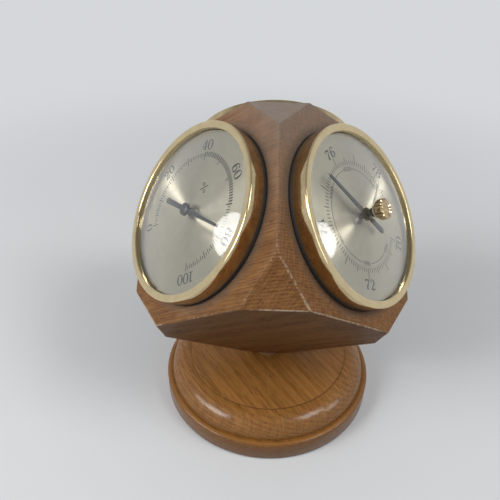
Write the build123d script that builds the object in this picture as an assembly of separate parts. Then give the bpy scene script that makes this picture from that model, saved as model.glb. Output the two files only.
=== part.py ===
from build123d import *
import math
import os

# Table weather station: an oak cube with cut corners stands on its corner on a turned foot.
# Its three upper faces carry a hygrometer, an aneroid barometer and a thermometer.
# Millimetres, +Z up, +Y away from the reader; the origin is the middle of the foot on the table.

# Gaps and cuts
overrun = 2.0
seat_gap = 0.02
running_gap = 0.05
turning_gap = 0.05
bore_gap = 0.3

# Foot
foot_radius = 50.0
felt_thickness = 1.5
felt_proud = 0.6
felt_margin = 3.5
foot_rim_height = 10.0
foot_rim_edge = 1.2
foot_ledge_width = 2.7
quarter_round_width = 9.6
quarter_round_height = 9.1
foot_floor_step = 0.8

# Swivel between the foot and the head
bolt_radius = 3.0
bolt_head_radius = 5.5
bolt_head_height = 4.0
bolt_socket_across = 5.0
bolt_socket_depth = 2.2
bolt_grip = 9.5
bush_wall = 1.5
pivot_seat_height = 9.0
pivot_pocket_radius = 8.0
spring_washer_radius = 6.5
spring_washer_thickness = 1.0
swivel_washer_radius = 6.4
swivel_washer_thickness = 1.25
insert_radius = 4.4
insert_length = 12.0
insert_sink = 0.6

# Head block, a cube sized by the bezels that its faces carry
face_margin = 4.9
corner_cut = 16.8
foot_corner_cut = 13.6
block_edge_round = 0.5

# Shell that all three instruments share; heights are above the wooden face
bezel_radius = 35.1
bezel_height = 7.9
bezel_wall = 0.6
bezel_rim_width = 2.8
bezel_rim_depth = 1.3
bezel_edge_round = 0.8
bezel_lip_round = 0.35
bezel_fit_gap = 0.1
gasket_thickness = 1.4
gasket_inset = 0.3
case_drum_share = 0.855
case_wall = 0.7
case_depth = 6.6
dial_thickness = 0.6
dial_hole_radius = 1.5
spacer_thickness = 0.7
spacer_width = 1.5
lens_thickness = 1.2
lens_rise = 5.0
lens_opening_gap = 0.3

# Pointers, built pointing up their face; their lengths are shares of the lens's radius
pointer_height = 6.8
pointer_thickness = 0.45
pointer_width = 1.9
pointer_collet_radius = 1.25
pointer_collet_clear = 0.4
pointer_hub_radius = 2.0
pointer_hub_height = 0.8
pointer_crown_height = 0.6
pointer_crown_radius = 1.3
arbor_radius = 0.8
meter_pointer_reach_share = 0.703
meter_pointer_tail_share = 0.4375
meter_tip_width = 1.0
barometer_pointer_reach_share = 0.719
barometer_pointer_tail_share = 0.36
barometer_tip_width = 1.2

# Hygrometer and thermometer works
bridge_length = 44.0
bridge_width = 7.0
bridge_bar_thickness = 1.2
bridge_screw_inset = 3.0
bridge_pillar_inset = 6.0
bridge_pillar_radius = 1.8
bridge_dial_gap = 0.9
arbor_end_gap = 0.1
coil_strip = 0.3
coil_width = 4.0
coil_turns = 6
coil_collet_radius = 1.5
coil_collet_gap = 0.7

# Small screws that hold the works to their case and the case to the wood
screw_radius = 0.9
screw_head_radius = 1.7
screw_head_height = 1.0
screw_slot_width = 0.4
screw_slot_depth = 0.5
screw_reach = 6.0

# Barometer works, set out inwards from the wall of their case
plate_wall_gap = 0.7
plate_thickness = 1.6
plate_screw_share = 0.875
plate_screw_count = 3
plate_screw_turn = 90.0
deep_drum_share = 0.795
deep_drum_extra_depth = 10.0
plate_lip = 2.0
frame_pillar_share = 0.8
frame_pillar_radius = 2.0
frame_bar_width = 6.0
frame_lower_bar = 1.0
frame_upper_bar = 1.0
frame_dial_gap = 0.7
pinion_teeth = 10
sector_wheel_teeth = 80
sector_teeth = 16
gear_rise = 2.9
gear_thickness = 1.2
pinion_face_extra = 0.2
tooth_height_share = 0.75
tooth_root_share = 1.15
tooth_root_width_share = 0.46
tooth_tip_width_share = 0.20
sector_web_depth = 1.6
sector_arm_width = 3.0
sector_hub_radius = 2.2
sector_pivot_radius = 0.8
sector_stud_radius = 1.2
sector_stud_inset = 0.8
sector_stud_top = 0.5
sector_pin_radius = 0.4
sector_pin_length = 0.9
sector_pin_offset = 2.0
rocker_shaft_radius = 0.5
rocker_pivot_radius = 0.35
rocker_pivot_length = 1.5
rocker_end_gap = 0.3
rocker_arm_reach = 4.6
rocker_arm_overhang = 0.8
rocker_arm_width = 2.0
rocker_arm_thickness = 0.8
rocker_arm_drop = 1.9
rocker_finger_width = 0.8
rocker_finger_thickness = 0.8
rocker_finger_gap = 0.3
rocker_finger_top_gap = 0.35
capsule_side_gap = 1.2
capsule_wall = 0.6
capsule_height = 4.2
capsule_stud_radius = 2.0
capsule_stud_height = 1.0
diaphragm_skirt = 2.6
diaphragm_skirt_gap = 0.15
diaphragm_post_radius = 1.0
diaphragm_post_gap = 1.2
diaphragm_ridge_height = 0.7
diaphragm_ridge_shares = (0.30, 0.42, 0.54, 0.66, 0.78, 0.90)
hairspring_strip = 0.18
hairspring_width = 0.9
hairspring_turns = 5
hairspring_drop = 2.3
hairspring_collet_radius = 1.1
hairspring_collet_gap = 0.4
hairspring_stud_offset = 6.2
hairspring_stud_radius = 0.6
pinion_shaft_radius = 0.6

# Set hand of the barometer, turned by the knob in the middle of its lens
set_stem_radius = 0.8
lens_bush_wall = 0.6
lens_bush_flange_radius = 2.5
lens_bush_flange_height = 0.4
knob_radius = 3.9
knob_height = 4.0
knob_clear = 0.15
knob_neck_radius = 2.4
knob_neck_height = 1.0
knob_crown_round = 1.1
knob_flutes = 12
knob_flute_radius = 0.55
set_hub_radius = 1.7
set_hub_height = 0.7
set_hub_lens_gap = 0.45
set_hand_reach_share = 0.5
set_hand_drop = 0.9
set_hand_width = 1.5
set_hand_tip_width = 0.6
set_hand_thickness = 0.3

# Readings at rest, as degrees clockwise from the top of each dial
hygrometer_rest_angle = 76.5
thermometer_rest_angle = 37.0
barometer_rest_angle = -25.0
set_hand_rest_angle = 68.0

# Which way each instrument faces, in degrees to the right of the reader
hygrometer_azimuth = -60.0
barometer_azimuth = 60.0
thermometer_azimuth = 180.0

# Sizes that follow from the ones above
cube_edge = 2 * (bezel_radius + face_margin)
case_drum_radius = bezel_radius * case_drum_share
meter_screw_offset = bridge_length / 2 - bridge_screw_inset
bridge_half_span = meter_screw_offset - bridge_pillar_inset
plate_radius = case_drum_radius - case_wall - plate_wall_gap
plate_screw_circle = plate_radius * plate_screw_share
frame_pillar_offset = plate_radius * frame_pillar_share
deep_drum_radius = plate_screw_circle * deep_drum_share
deep_drum_depth = case_depth + deep_drum_extra_depth
plate_hole_radius = deep_drum_radius - case_wall - plate_lip
capsule_radius = plate_hole_radius - capsule_side_gap
gear_distance = plate_hole_radius + sector_stud_inset
gear_module = 2 * gear_distance / (pinion_teeth + sector_wheel_teeth)

# Heights that follow from the sizes above
foot_floor_height = foot_rim_height + quarter_round_height + foot_floor_step
head_bottom_height = foot_floor_height + swivel_washer_thickness + turning_gap
half_diagonal = cube_edge * math.sqrt(3) / 2
head_centre_height = head_bottom_height + half_diagonal - foot_corner_cut / math.sqrt(3)
face_tilt = math.atan(1 / math.sqrt(2))
rim_underside = bezel_height - bezel_rim_depth
lens_underside = rim_underside - lens_thickness
dial_top = lens_underside - spacer_thickness
dial_underside = dial_top - dial_thickness
case_floor = case_wall - case_depth
case_flange_radius = bezel_radius - bezel_wall - bezel_fit_gap
lens_dome_radius = bezel_radius - bezel_rim_width - lens_opening_gap
meter_pointer_reach = lens_dome_radius * meter_pointer_reach_share
meter_pointer_tail = lens_dome_radius * meter_pointer_tail_share
barometer_pointer_reach = lens_dome_radius * barometer_pointer_reach_share
barometer_pointer_tail = lens_dome_radius * barometer_pointer_tail_share
set_hand_reach = lens_dome_radius * set_hand_reach_share
lens_crown = lens_underside + lens_rise
plate_top = case_floor + plate_thickness
frame_lower_top = plate_top + frame_lower_bar
frame_upper_top = dial_underside - frame_dial_gap
deep_floor = case_wall - deep_drum_depth
gear_height = frame_lower_top + gear_rise
rocker_height = case_floor + plate_thickness / 2
rocker_arm_underside = rocker_height - rocker_arm_drop
sector_pin_x = rocker_finger_thickness / 2 + rocker_finger_gap + sector_pin_radius - rocker_arm_reach
sector_y = math.sqrt(gear_distance**2 - sector_pin_x**2)
finger_y = sector_y - sector_pin_offset
lens_hole_radius = set_stem_radius + running_gap + lens_bush_wall + seat_gap

STAND = (Align.CENTER, Align.CENTER, Align.MIN)


# Shared shapes

def drum(radius, low, high):
    """A plain cylinder on the Z axis between two heights."""
    return Pos(0, 0, low) * Cylinder(radius, high - low, align=STAND)


def ring(outer, inner, low, high):
    """A plain ring on the Z axis between two heights."""
    return drum(outer, low, high) - drum(inner, low, high)


def bar(length, width, low, high):
    """A flat bar centred on the Z axis between two heights."""
    return Pos(0, 0, low) * Box(length, width, high - low, align=STAND)


def turned(*edges):
    """The solid turned about Z from an outline drawn as radius and height."""
    return revolve(make_face(Plane.XZ * Curve(list(edges))), Axis.Z)


def outline(*points):
    """A closed outline of straight runs."""
    return Polyline(*points, close=True)


def coil_arc(centre, radius, side):
    """A half turn about a point on the X axis, over the top for side 1 and underneath for -1."""
    start = (centre + side * radius, 0)
    crest = (centre, side * radius)
    end = (centre - side * radius, 0)
    return ThreePointArc(start, crest, end)


def spiral(inner, outer, turns, strip, low, high):
    """A flat spiral strip of half turns that grows from the inner radius to the outer one at +X."""
    step = (outer - inner) / (2 * turns)
    near, far = [], []
    for half in range(2 * turns):
        side = 1 if half % 2 == 0 else -1
        centre = 0 if side == 1 else step
        radius = inner + step * half
        near.append(coil_arc(centre, radius - strip / 2, side))
        far.append(coil_arc(centre, radius + strip / 2, side))
    ends = [Line(near[0] @ 0, far[0] @ 0), Line(near[-1] @ 1, far[-1] @ 1)]
    return Pos(0, 0, low) * extrude(make_face(Curve(near + far + ends)), high - low)


def screw(reach):
    """A slotted screw whose head sits on the plane z = 0."""
    shank = drum(screw_radius, -reach, 0)
    head = drum(screw_head_radius, 0, screw_head_height)
    slot_low = screw_head_height - screw_slot_depth
    slot = bar(2 * screw_head_radius, screw_slot_width, slot_low, screw_head_height)
    return shank + head - slot


def face_location(azimuth):
    """A face's own frame on the wood: X to the reader's right, Y up the face, Z outwards."""
    turn = math.radians(azimuth)
    level, climb = math.cos(face_tilt), math.sin(face_tilt)
    normal = Vector(math.sin(turn) * level, -math.cos(turn) * level, climb)
    centre = Vector(0, 0, head_centre_height) + normal * (cube_edge / 2)
    return Plane(centre, x_dir=(math.cos(turn), math.sin(turn), 0), z_dir=normal).location


hygrometer_face = face_location(hygrometer_azimuth)
barometer_face = face_location(barometer_azimuth)
thermometer_face = face_location(thermometer_azimuth)
meter_screw_spots = [(meter_screw_offset, 0), (-meter_screw_offset, 0)]
plate_screw_spots = []
for number in range(plate_screw_count):
    spot_turn = math.radians(plate_screw_turn + 360 / plate_screw_count * number)
    spot_x, spot_y = math.cos(spot_turn), math.sin(spot_turn)
    plate_screw_spots.append((plate_screw_circle * spot_x, plate_screw_circle * spot_y))


# Foot and swivel

def make_felt_pad():
    return drum(foot_radius - felt_margin, 0, felt_thickness)


def make_foot():
    ledge_radius = foot_radius - foot_ledge_width
    floor_radius = ledge_radius - quarter_round_width
    floor_edge_height = foot_floor_height - foot_floor_step
    bore = bolt_radius + running_gap + bush_wall + seat_gap
    base_edge = [
        Line((bore, felt_proud), (foot_radius, felt_proud)),
        Line((foot_radius, felt_proud), (foot_radius, foot_rim_height - foot_rim_edge)),
        RadiusArc(
            (foot_radius, foot_rim_height - foot_rim_edge),
            (foot_radius - foot_rim_edge, foot_rim_height),
            -foot_rim_edge,
        ),
        Line((foot_radius - foot_rim_edge, foot_rim_height), (ledge_radius, foot_rim_height)),
    ]
    crown = EllipticalCenterArc(
        (floor_radius, foot_rim_height), quarter_round_width, quarter_round_height,
        start_angle=0, arc_size=90,
    )
    floor_edge = [
        Line((floor_radius, floor_edge_height), (floor_radius, foot_floor_height)),
        Line((floor_radius, foot_floor_height), (bore, foot_floor_height)),
        Line((bore, foot_floor_height), (bore, felt_proud)),
    ]
    foot = turned(*base_edge, crown, *floor_edge)
    recess_radius = foot_radius - felt_margin + seat_gap
    felt_recess = drum(recess_radius, felt_proud - overrun, felt_thickness + seat_gap)
    pocket = drum(pivot_pocket_radius, felt_proud - overrun, pivot_seat_height)
    return foot - felt_recess - pocket


def make_pivot_bush():
    inner = bolt_radius + running_gap
    return ring(inner + bush_wall, inner, pivot_seat_height, foot_floor_height)


def make_spring_washer():
    inner = bolt_radius + bore_gap
    low = pivot_seat_height - spring_washer_thickness
    return ring(spring_washer_radius, inner, low, pivot_seat_height)


def make_swivel_washer():
    washer_top = foot_floor_height + swivel_washer_thickness
    return ring(swivel_washer_radius, bolt_radius + bore_gap, foot_floor_height, washer_top)


def make_pivot_bolt():
    head_top = pivot_seat_height - spring_washer_thickness - turning_gap
    head_low = head_top - bolt_head_height
    shank = drum(bolt_radius, head_top, head_bottom_height + insert_sink + bolt_grip)
    head = drum(bolt_head_radius, head_low, head_top)
    socket_profile = RegularPolygon(bolt_socket_across / 2, 6, major_radius=False)
    socket = Pos(0, 0, head_low) * extrude(socket_profile, bolt_socket_depth)
    return shank + head - socket


def make_threaded_insert():
    low = head_bottom_height + insert_sink
    return ring(insert_radius, bolt_radius + seat_gap, low, low + insert_length)


# Head block

def corner_directions():
    """Unit directions from the cube's middle to its eight corners, with each corner's cut."""
    corners = [(Vector(0, 0, 1), corner_cut), (Vector(0, 0, -1), foot_corner_cut)]
    corner_climb = math.asin(1 / 3)
    for number in range(6):
        turn = math.radians(60 * number)
        climb = corner_climb if number % 2 == 0 else -corner_climb
        level = math.cos(climb)
        direction = Vector(math.sin(turn) * level, -math.cos(turn) * level, math.sin(climb))
        corners.append((direction, corner_cut))
    return corners


def make_head_block():
    centre = Vector(0, 0, head_centre_height)
    across = hygrometer_face.position - centre
    outwards = barometer_face.position - centre
    cube_plane = Plane(centre, x_dir=across, z_dir=outwards)
    block = cube_plane.location * Box(cube_edge, cube_edge, cube_edge)
    for direction, cut in corner_directions():
        flat = Plane(centre + direction * (half_diagonal - cut / math.sqrt(3)), z_dir=direction)
        block = split(block, bisect_by=flat, keep=Keep.BOTTOM)
    block = fillet(block.edges(), block_edge_round)
    shallow = drum(case_drum_radius + bore_gap, -case_depth - bore_gap, overrun)
    deep = drum(deep_drum_radius + bore_gap, -deep_drum_depth - bore_gap, overrun)
    for face in (hygrometer_face, barometer_face, thermometer_face):
        block -= face * shallow
    block -= barometer_face * deep
    pilot = drum(screw_radius + seat_gap, -screw_reach - case_depth, 0)
    for face in (hygrometer_face, thermometer_face):
        for x, y in meter_screw_spots:
            block -= face * Pos(x, y, 0) * pilot
    for x, y in plate_screw_spots:
        block -= barometer_face * Pos(x, y, 0) * pilot
    low = head_bottom_height + insert_sink
    high = low + insert_length + bore_gap
    return block - drum(insert_radius + seat_gap, head_bottom_height - overrun, high)


# Instrument shell

def make_gasket():
    return ring(bezel_radius - gasket_inset, case_drum_radius + seat_gap, 0, gasket_thickness)


def make_bezel():
    opening = bezel_radius - bezel_rim_width
    inner = bezel_radius - bezel_wall
    rim = outline(
        (inner, gasket_thickness), (bezel_radius, gasket_thickness), (bezel_radius, bezel_height),
        (opening, bezel_height), (opening, rim_underside), (inner, rim_underside),
    )
    bezel = turned(rim)
    front = bezel.edges().filter_by(GeomType.CIRCLE).group_by(Axis.Z)[-1].sort_by(SortBy.RADIUS)
    bezel = fillet(front[-1], bezel_edge_round)
    front = bezel.edges().filter_by(GeomType.CIRCLE).group_by(Axis.Z)[-1].sort_by(SortBy.RADIUS)
    return fillet(front[0], bezel_lip_round)


def case_shell(screw_spots):
    """A pressed cup with a flange on the gasket and a collar that carries the dial."""
    flange_top = gasket_thickness + case_wall
    drum_inner = case_drum_radius - case_wall
    collar_outer = case_flange_radius - case_wall
    cup = drum(case_drum_radius, -case_depth, gasket_thickness)
    cup -= drum(drum_inner, case_floor, gasket_thickness)
    flange = ring(case_flange_radius, drum_inner, gasket_thickness, flange_top)
    collar = ring(collar_outer, collar_outer - case_wall, flange_top, dial_underside)
    shell = cup + flange + collar
    hole = drum(screw_radius + seat_gap, -case_depth - overrun, case_floor + overrun)
    for x, y in screw_spots:
        shell -= Pos(x, y, 0) * hole
    return shell


def make_meter_case():
    return case_shell(meter_screw_spots)


def make_barometer_case():
    deep_inner = deep_drum_radius - case_wall
    shell = case_shell(plate_screw_spots)
    shell -= drum(deep_inner, -case_depth - overrun, case_floor + overrun)
    deep_cup = drum(deep_drum_radius, -deep_drum_depth, -case_depth)
    return shell + deep_cup - drum(deep_inner, deep_floor, -case_depth)


def make_dial():
    return ring(case_flange_radius, dial_hole_radius, dial_underside, dial_top)


def make_spacer_ring():
    return ring(case_flange_radius, case_flange_radius - spacer_width, dial_top, lens_underside)


def lens_dome_sweep(crown_height, edge_height):
    """The quarter outline of a shallow dome, from its edge to its crown, as an arc."""
    rise = crown_height - edge_height
    sphere = (lens_dome_radius**2 + rise**2) / (2 * rise)
    return RadiusArc((lens_dome_radius, edge_height), (0, crown_height), -sphere)


def make_lens():
    inner_dome = lens_dome_sweep(lens_crown, lens_underside)
    outer_dome = lens_dome_sweep(lens_crown + lens_thickness, rim_underside)
    edge = Polyline(
        (lens_dome_radius, lens_underside), (case_flange_radius, lens_underside),
        (case_flange_radius, rim_underside), (lens_dome_radius, rim_underside),
    )
    crown = Line((0, lens_crown), (0, lens_crown + lens_thickness))
    return turned(inner_dome, edge, outer_dome, crown)


def make_barometer_lens():
    hole = drum(lens_hole_radius, lens_crown - overrun, lens_crown + lens_thickness + overrun)
    return make_lens() - hole


# Pointers

def make_pointer(reach, tail, tip_width, rest):
    """A tapered hand with a rounded tail, a domed hub and a collet that grips its arbor."""
    half, half_tip = pointer_width / 2, tip_width / 2
    blade_shape = make_face(outline((half, -tail), (half, 0), (half_tip, reach), (-half_tip, reach),
                                    (-half, 0), (-half, -tail)))
    blade_shape += Pos(0, -tail) * Circle(half)
    blade_shape += Pos(0, reach) * Circle(half_tip)
    blade = Pos(0, 0, pointer_height) * extrude(blade_shape, pointer_thickness)
    hub_top = pointer_height + pointer_hub_height
    collet_low = dial_top + pointer_collet_clear
    hub = drum(pointer_hub_radius, pointer_height, hub_top)
    collet = drum(pointer_collet_radius, collet_low, pointer_height)
    cone = Cone(pointer_hub_radius, pointer_crown_radius, pointer_crown_height, align=STAND)
    pointer = blade + hub + collet + Pos(0, 0, hub_top) * cone
    pointer -= drum(arbor_radius + seat_gap, collet_low - overrun, hub_top)
    return Rot(0, 0, -rest) * pointer


# Hygrometer and thermometer works

bridge_low = case_floor
bridge_high = dial_underside - bridge_dial_gap
coil_middle = (bridge_low + bridge_high) / 2


def make_bridge():
    lower = bar(bridge_length, bridge_width, bridge_low, bridge_low + bridge_bar_thickness)
    upper_length = 2 * bridge_half_span + bridge_width
    upper = bar(upper_length, bridge_width, bridge_high - bridge_bar_thickness, bridge_high)
    bridge = lower + upper
    pillar = drum(bridge_pillar_radius, bridge_low, bridge_high)
    for side in (1, -1):
        bridge += Pos(side * bridge_half_span, 0, 0) * pillar
    screw_hole = drum(screw_radius + seat_gap, bridge_low - overrun, bridge_low + overrun)
    for x, y in meter_screw_spots:
        bridge -= Pos(x, y, 0) * screw_hole
    return bridge - drum(arbor_radius + running_gap, bridge_low - overrun, bridge_high + overrun)


def make_meter_screws():
    head_seat = bridge_low + bridge_bar_thickness
    reach = head_seat + case_depth + screw_reach - bore_gap
    return Compound(children=[Pos(x, y, head_seat) * screw(reach) for x, y in meter_screw_spots])


def make_meter_coil():
    inner = coil_collet_radius + coil_collet_gap
    outer = bridge_half_span - bridge_pillar_radius - seat_gap - coil_strip / 2
    low, high = coil_middle - coil_width / 2, coil_middle + coil_width / 2
    return spiral(inner, outer, coil_turns, coil_strip, low, high)


def make_meter_arbor():
    low, high = coil_middle - coil_width / 2, coil_middle + coil_width / 2
    tip = pointer_height + pointer_hub_height - arbor_end_gap
    shaft = drum(arbor_radius, case_floor + arbor_end_gap, tip)
    return shaft + drum(coil_collet_radius, low, high)


# Barometer works

def make_base_plate():
    plate = ring(plate_radius, plate_hole_radius, case_floor, plate_top)
    pivot_reach = finger_y + rocker_finger_width / 2 + rocker_pivot_length + rocker_end_gap
    pivot_bore = Rot(90, 0, 0) * Cylinder(rocker_pivot_radius + running_gap, 2 * pivot_reach)
    plate -= Pos(-rocker_arm_reach, 0, rocker_height) * pivot_bore
    screw_hole = drum(screw_radius + seat_gap, case_floor - overrun, plate_top + overrun)
    for x, y in plate_screw_spots:
        plate -= Pos(x, y, 0) * screw_hole
    stud = drum(sector_stud_radius, plate_top, gear_height - turning_gap)
    stud += drum(sector_pivot_radius, plate_top, gear_height + gear_thickness + sector_stud_top)
    return plate + Pos(sector_pin_x, sector_y, 0) * stud


def make_plate_screws():
    reach = plate_top + case_depth + screw_reach - bore_gap
    return Compound(children=[Pos(x, y, plate_top) * screw(reach) for x, y in plate_screw_spots])


def make_barometer_frame():
    length = 2 * (frame_pillar_offset + frame_pillar_radius)
    frame = bar(length, frame_bar_width, plate_top, frame_lower_top)
    frame += bar(length, frame_bar_width, frame_upper_top - frame_upper_bar, frame_upper_top)
    pillar = drum(frame_pillar_radius, plate_top, frame_upper_top)
    for side in (1, -1):
        frame += Pos(side * frame_pillar_offset, 0, 0) * pillar
    stud_top = gear_height - hairspring_drop + hairspring_width
    frame += Pos(hairspring_stud_offset, 0, 0) * drum(hairspring_stud_radius, plate_top, stud_top)
    lower_bore = drum(pinion_shaft_radius + running_gap, plate_top - overrun, frame_lower_top + overrun)
    upper_bore = drum(arbor_radius + running_gap, frame_upper_top - overrun, frame_upper_top + overrun)
    return frame - lower_bore - upper_bore


def tooth(radius):
    """One tooth along +X about the pitch circle of the given radius."""
    pitch = math.pi * gear_module
    tip = radius + tooth_height_share * gear_module
    root = radius - tooth_root_share * gear_module
    inside = root - gear_module
    half_tip, half_root = pitch * tooth_tip_width_share / 2, pitch * tooth_root_width_share / 2
    return make_face(outline((inside, -half_root), (root, -half_root), (tip, -half_tip),
                             (tip, half_tip), (root, half_root), (inside, half_root)))


def make_pinion_arbor():
    pitch_radius = gear_module * pinion_teeth / 2
    root = pitch_radius - tooth_root_share * gear_module
    wheel = Circle(root) + [Rot(0, 0, 360 / pinion_teeth * number) * tooth(pitch_radius)
                            for number in range(pinion_teeth)]
    toward_sector = math.degrees(math.atan2(sector_y, sector_pin_x))
    face_low = gear_height - pinion_face_extra
    pinion = Pos(0, 0, face_low) * extrude(wheel, gear_thickness + 2 * pinion_face_extra)
    lower = drum(pinion_shaft_radius, plate_top + arbor_end_gap, gear_height + gear_thickness)
    upper = drum(arbor_radius, gear_height, pointer_height + pointer_hub_height - arbor_end_gap)
    collet_low = gear_height - hairspring_drop
    collet = drum(hairspring_collet_radius, collet_low, collet_low + hairspring_width)
    return Rot(0, 0, toward_sector) * pinion + lower + upper + collet


def make_hairspring():
    inner = hairspring_collet_radius + hairspring_collet_gap
    outer = hairspring_stud_offset - hairspring_stud_radius - seat_gap - hairspring_strip / 2
    low = gear_height - hairspring_drop
    return spiral(inner, outer, hairspring_turns, hairspring_strip, low, low + hairspring_width)


def make_sector():
    pitch_radius = gear_module * sector_wheel_teeth / 2
    root = pitch_radius - tooth_root_share * gear_module
    tooth_turn = 360 / sector_wheel_teeth
    half_fan = tooth_turn * sector_teeth / 2
    fan = Circle(root) - Circle(root - sector_web_depth)
    reach = root / math.cos(math.radians(half_fan))
    slope = math.radians(half_fan)
    wedge = make_face(outline((0, 0), (reach * math.cos(slope), -reach * math.sin(slope)), (reach, 0),
                              (reach * math.cos(slope), reach * math.sin(slope))))
    fan = fan & wedge
    teeth = [Rot(0, 0, tooth_turn * (number + 1 / 2) - half_fan) * tooth(pitch_radius)
             for number in range(sector_teeth)]
    arm = Pos(root / 2, 0) * Rectangle(root - sector_web_depth, sector_arm_width)
    plate = fan + teeth + arm + Circle(sector_hub_radius) - Circle(sector_pivot_radius + running_gap)
    toward_pinion = math.degrees(math.atan2(-sector_y, -sector_pin_x))
    wheel = Pos(0, 0, gear_height) * Rot(0, 0, toward_pinion) * extrude(plate, gear_thickness)
    pin = drum(sector_pin_radius, gear_height - sector_pin_length, gear_height)
    return Pos(sector_pin_x, sector_y, 0) * (wheel + Pos(0, -sector_pin_offset, 0) * pin)


def make_rocker():
    half_length = finger_y + rocker_finger_width / 2
    shaft = Rot(90, 0, 0) * Cylinder(rocker_shaft_radius, 2 * half_length)
    pivots = Rot(90, 0, 0) * Cylinder(rocker_pivot_radius, 2 * (half_length + rocker_pivot_length))
    web = bar(2 * rocker_shaft_radius, rocker_arm_width, -rocker_arm_drop, 0)
    arm_length = rocker_arm_reach + rocker_arm_overhang + rocker_shaft_radius
    arm_middle = arm_length / 2 - rocker_shaft_radius
    arm_low = -rocker_arm_drop
    arm = Pos(arm_middle, 0, 0) * bar(arm_length, rocker_arm_width, arm_low, arm_low + rocker_arm_thickness)
    finger_top = gear_height - rocker_finger_top_gap - rocker_height
    finger = Pos(0, finger_y, 0) * bar(rocker_finger_thickness, rocker_finger_width, 0, finger_top)
    return Pos(-rocker_arm_reach, 0, rocker_height) * (shaft + pivots + web + arm + finger)


capsule_low = deep_floor + capsule_stud_height
capsule_top = capsule_low + capsule_height
diaphragm_high = capsule_top + diaphragm_skirt / 2


def make_capsule():
    shell = drum(capsule_radius, capsule_low, capsule_top)
    shell -= drum(capsule_radius - capsule_wall, capsule_low + capsule_wall, capsule_top)
    return shell + drum(capsule_stud_radius, deep_floor, capsule_low)


def make_diaphragm():
    """The capsule's ridged upper skin, with a post that leaves room for the arm at its lowest."""
    outer = capsule_radius + diaphragm_skirt_gap + capsule_wall
    underside = diaphragm_high - capsule_wall
    skin = drum(outer, underside, diaphragm_high)
    skin += ring(outer, outer - capsule_wall, diaphragm_high - diaphragm_skirt, diaphragm_high)
    ridge = diaphragm_ridge_height / 2
    for share in diaphragm_ridge_shares:
        skin += Pos(0, 0, diaphragm_high) * Torus(outer * share, ridge)
    post_top = rocker_arm_underside - diaphragm_post_gap
    return skin + drum(diaphragm_post_radius, underside, post_top)


# Set hand

set_hub_top = lens_crown - set_hub_lens_gap
lens_top = lens_crown + lens_thickness


def make_lens_bush():
    inner = set_stem_radius + running_gap
    tube = ring(inner + lens_bush_wall, inner, lens_crown, lens_top)
    return tube + ring(lens_bush_flange_radius, inner, lens_top, lens_top + lens_bush_flange_height)


def make_set_knob():
    base = lens_top + lens_bush_flange_height + knob_clear
    neck_top = base + knob_neck_height
    crown_top = base + knob_height
    body = drum(knob_radius, neck_top, crown_top)
    body = fillet(body.edges().filter_by(GeomType.CIRCLE).sort_by(Axis.Z)[-1], knob_crown_round)
    for number in range(knob_flutes):
        flute = Pos(knob_radius, 0, 0) * drum(knob_flute_radius, neck_top - overrun, crown_top + overrun)
        body -= Rot(0, 0, 360 / knob_flutes * number) * flute
    stem = drum(set_stem_radius, set_hub_top - set_hub_height, neck_top)
    return body + drum(knob_neck_radius, base, neck_top) + stem


def make_set_hand():
    hub_low = set_hub_top - set_hub_height
    half, half_tip = set_hand_width / 2, set_hand_tip_width / 2
    tip = set_hand_reach
    blade = make_face(outline((half, 0), (half_tip, tip), (-half_tip, tip), (-half, 0)))
    slope = math.degrees(math.atan(set_hand_drop / tip))
    strip = Rot(-slope, 0, 0) * extrude(blade, -set_hand_thickness)
    hub = drum(set_hub_radius, hub_low, set_hub_top)
    hand = hub + Pos(0, 0, hub_low + set_hub_height / 2) * strip
    hand -= drum(set_stem_radius + seat_gap, hub_low - overrun, set_hub_top + overrun)
    return Rot(0, 0, -set_hand_rest_angle) * hand


# Every piece by its name, then one file each

pieces = {
    "felt_pad": make_felt_pad(),
    "foot": make_foot(),
    "pivot_bush": make_pivot_bush(),
    "spring_washer": make_spring_washer(),
    "swivel_washer": make_swivel_washer(),
    "pivot_bolt": make_pivot_bolt(),
    "threaded_insert": make_threaded_insert(),
    "head_block": make_head_block(),
}
shell = {
    "gasket": make_gasket(),
    "bezel": make_bezel(),
    "dial": make_dial(),
    "spacer_ring": make_spacer_ring(),
}
meter_works = {
    "case": make_meter_case(),
    "lens": make_lens(),
    "bridge": make_bridge(),
    "screws": make_meter_screws(),
    "coil": make_meter_coil(),
    "arbor": make_meter_arbor(),
}
barometer_works = {
    "case": make_barometer_case(),
    "lens": make_barometer_lens(),
    "base_plate": make_base_plate(),
    "screws": make_plate_screws(),
    "frame": make_barometer_frame(),
    "capsule": make_capsule(),
    "diaphragm": make_diaphragm(),
    "rocking_shaft": make_rocker(),
    "sector": make_sector(),
    "pinion_arbor": make_pinion_arbor(),
    "hairspring": make_hairspring(),
    "lens_bush": make_lens_bush(),
    "set_knob": make_set_knob(),
    "set_hand": make_set_hand(),
}
meter_hand = (meter_pointer_reach, meter_pointer_tail, meter_tip_width)
barometer_hand = (barometer_pointer_reach, barometer_pointer_tail, barometer_tip_width)
hygrometer_pointer = make_pointer(*meter_hand, hygrometer_rest_angle)
thermometer_pointer = make_pointer(*meter_hand, thermometer_rest_angle)
barometer_pointer = make_pointer(*barometer_hand, barometer_rest_angle)
instruments = {
    "hygrometer": (hygrometer_face, {**shell, **meter_works, "pointer": hygrometer_pointer}),
    "thermometer": (thermometer_face, {**shell, **meter_works, "pointer": thermometer_pointer}),
    "barometer": (barometer_face, {**shell, **barometer_works, "pointer": barometer_pointer}),
}
for instrument, (face, fittings) in instruments.items():
    for fitting, shape in fittings.items():
        pieces[f"{instrument}_{fitting}"] = face * shape

os.makedirs("parts", exist_ok=True)
for name, shape in pieces.items():
    export_step(shape, f"parts/{name}.step")
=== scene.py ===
import math

import bmesh
import bpy
from bpy.props import FloatProperty, FloatVectorProperty, IntProperty, PointerProperty
from mathutils import Matrix, Vector


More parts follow.
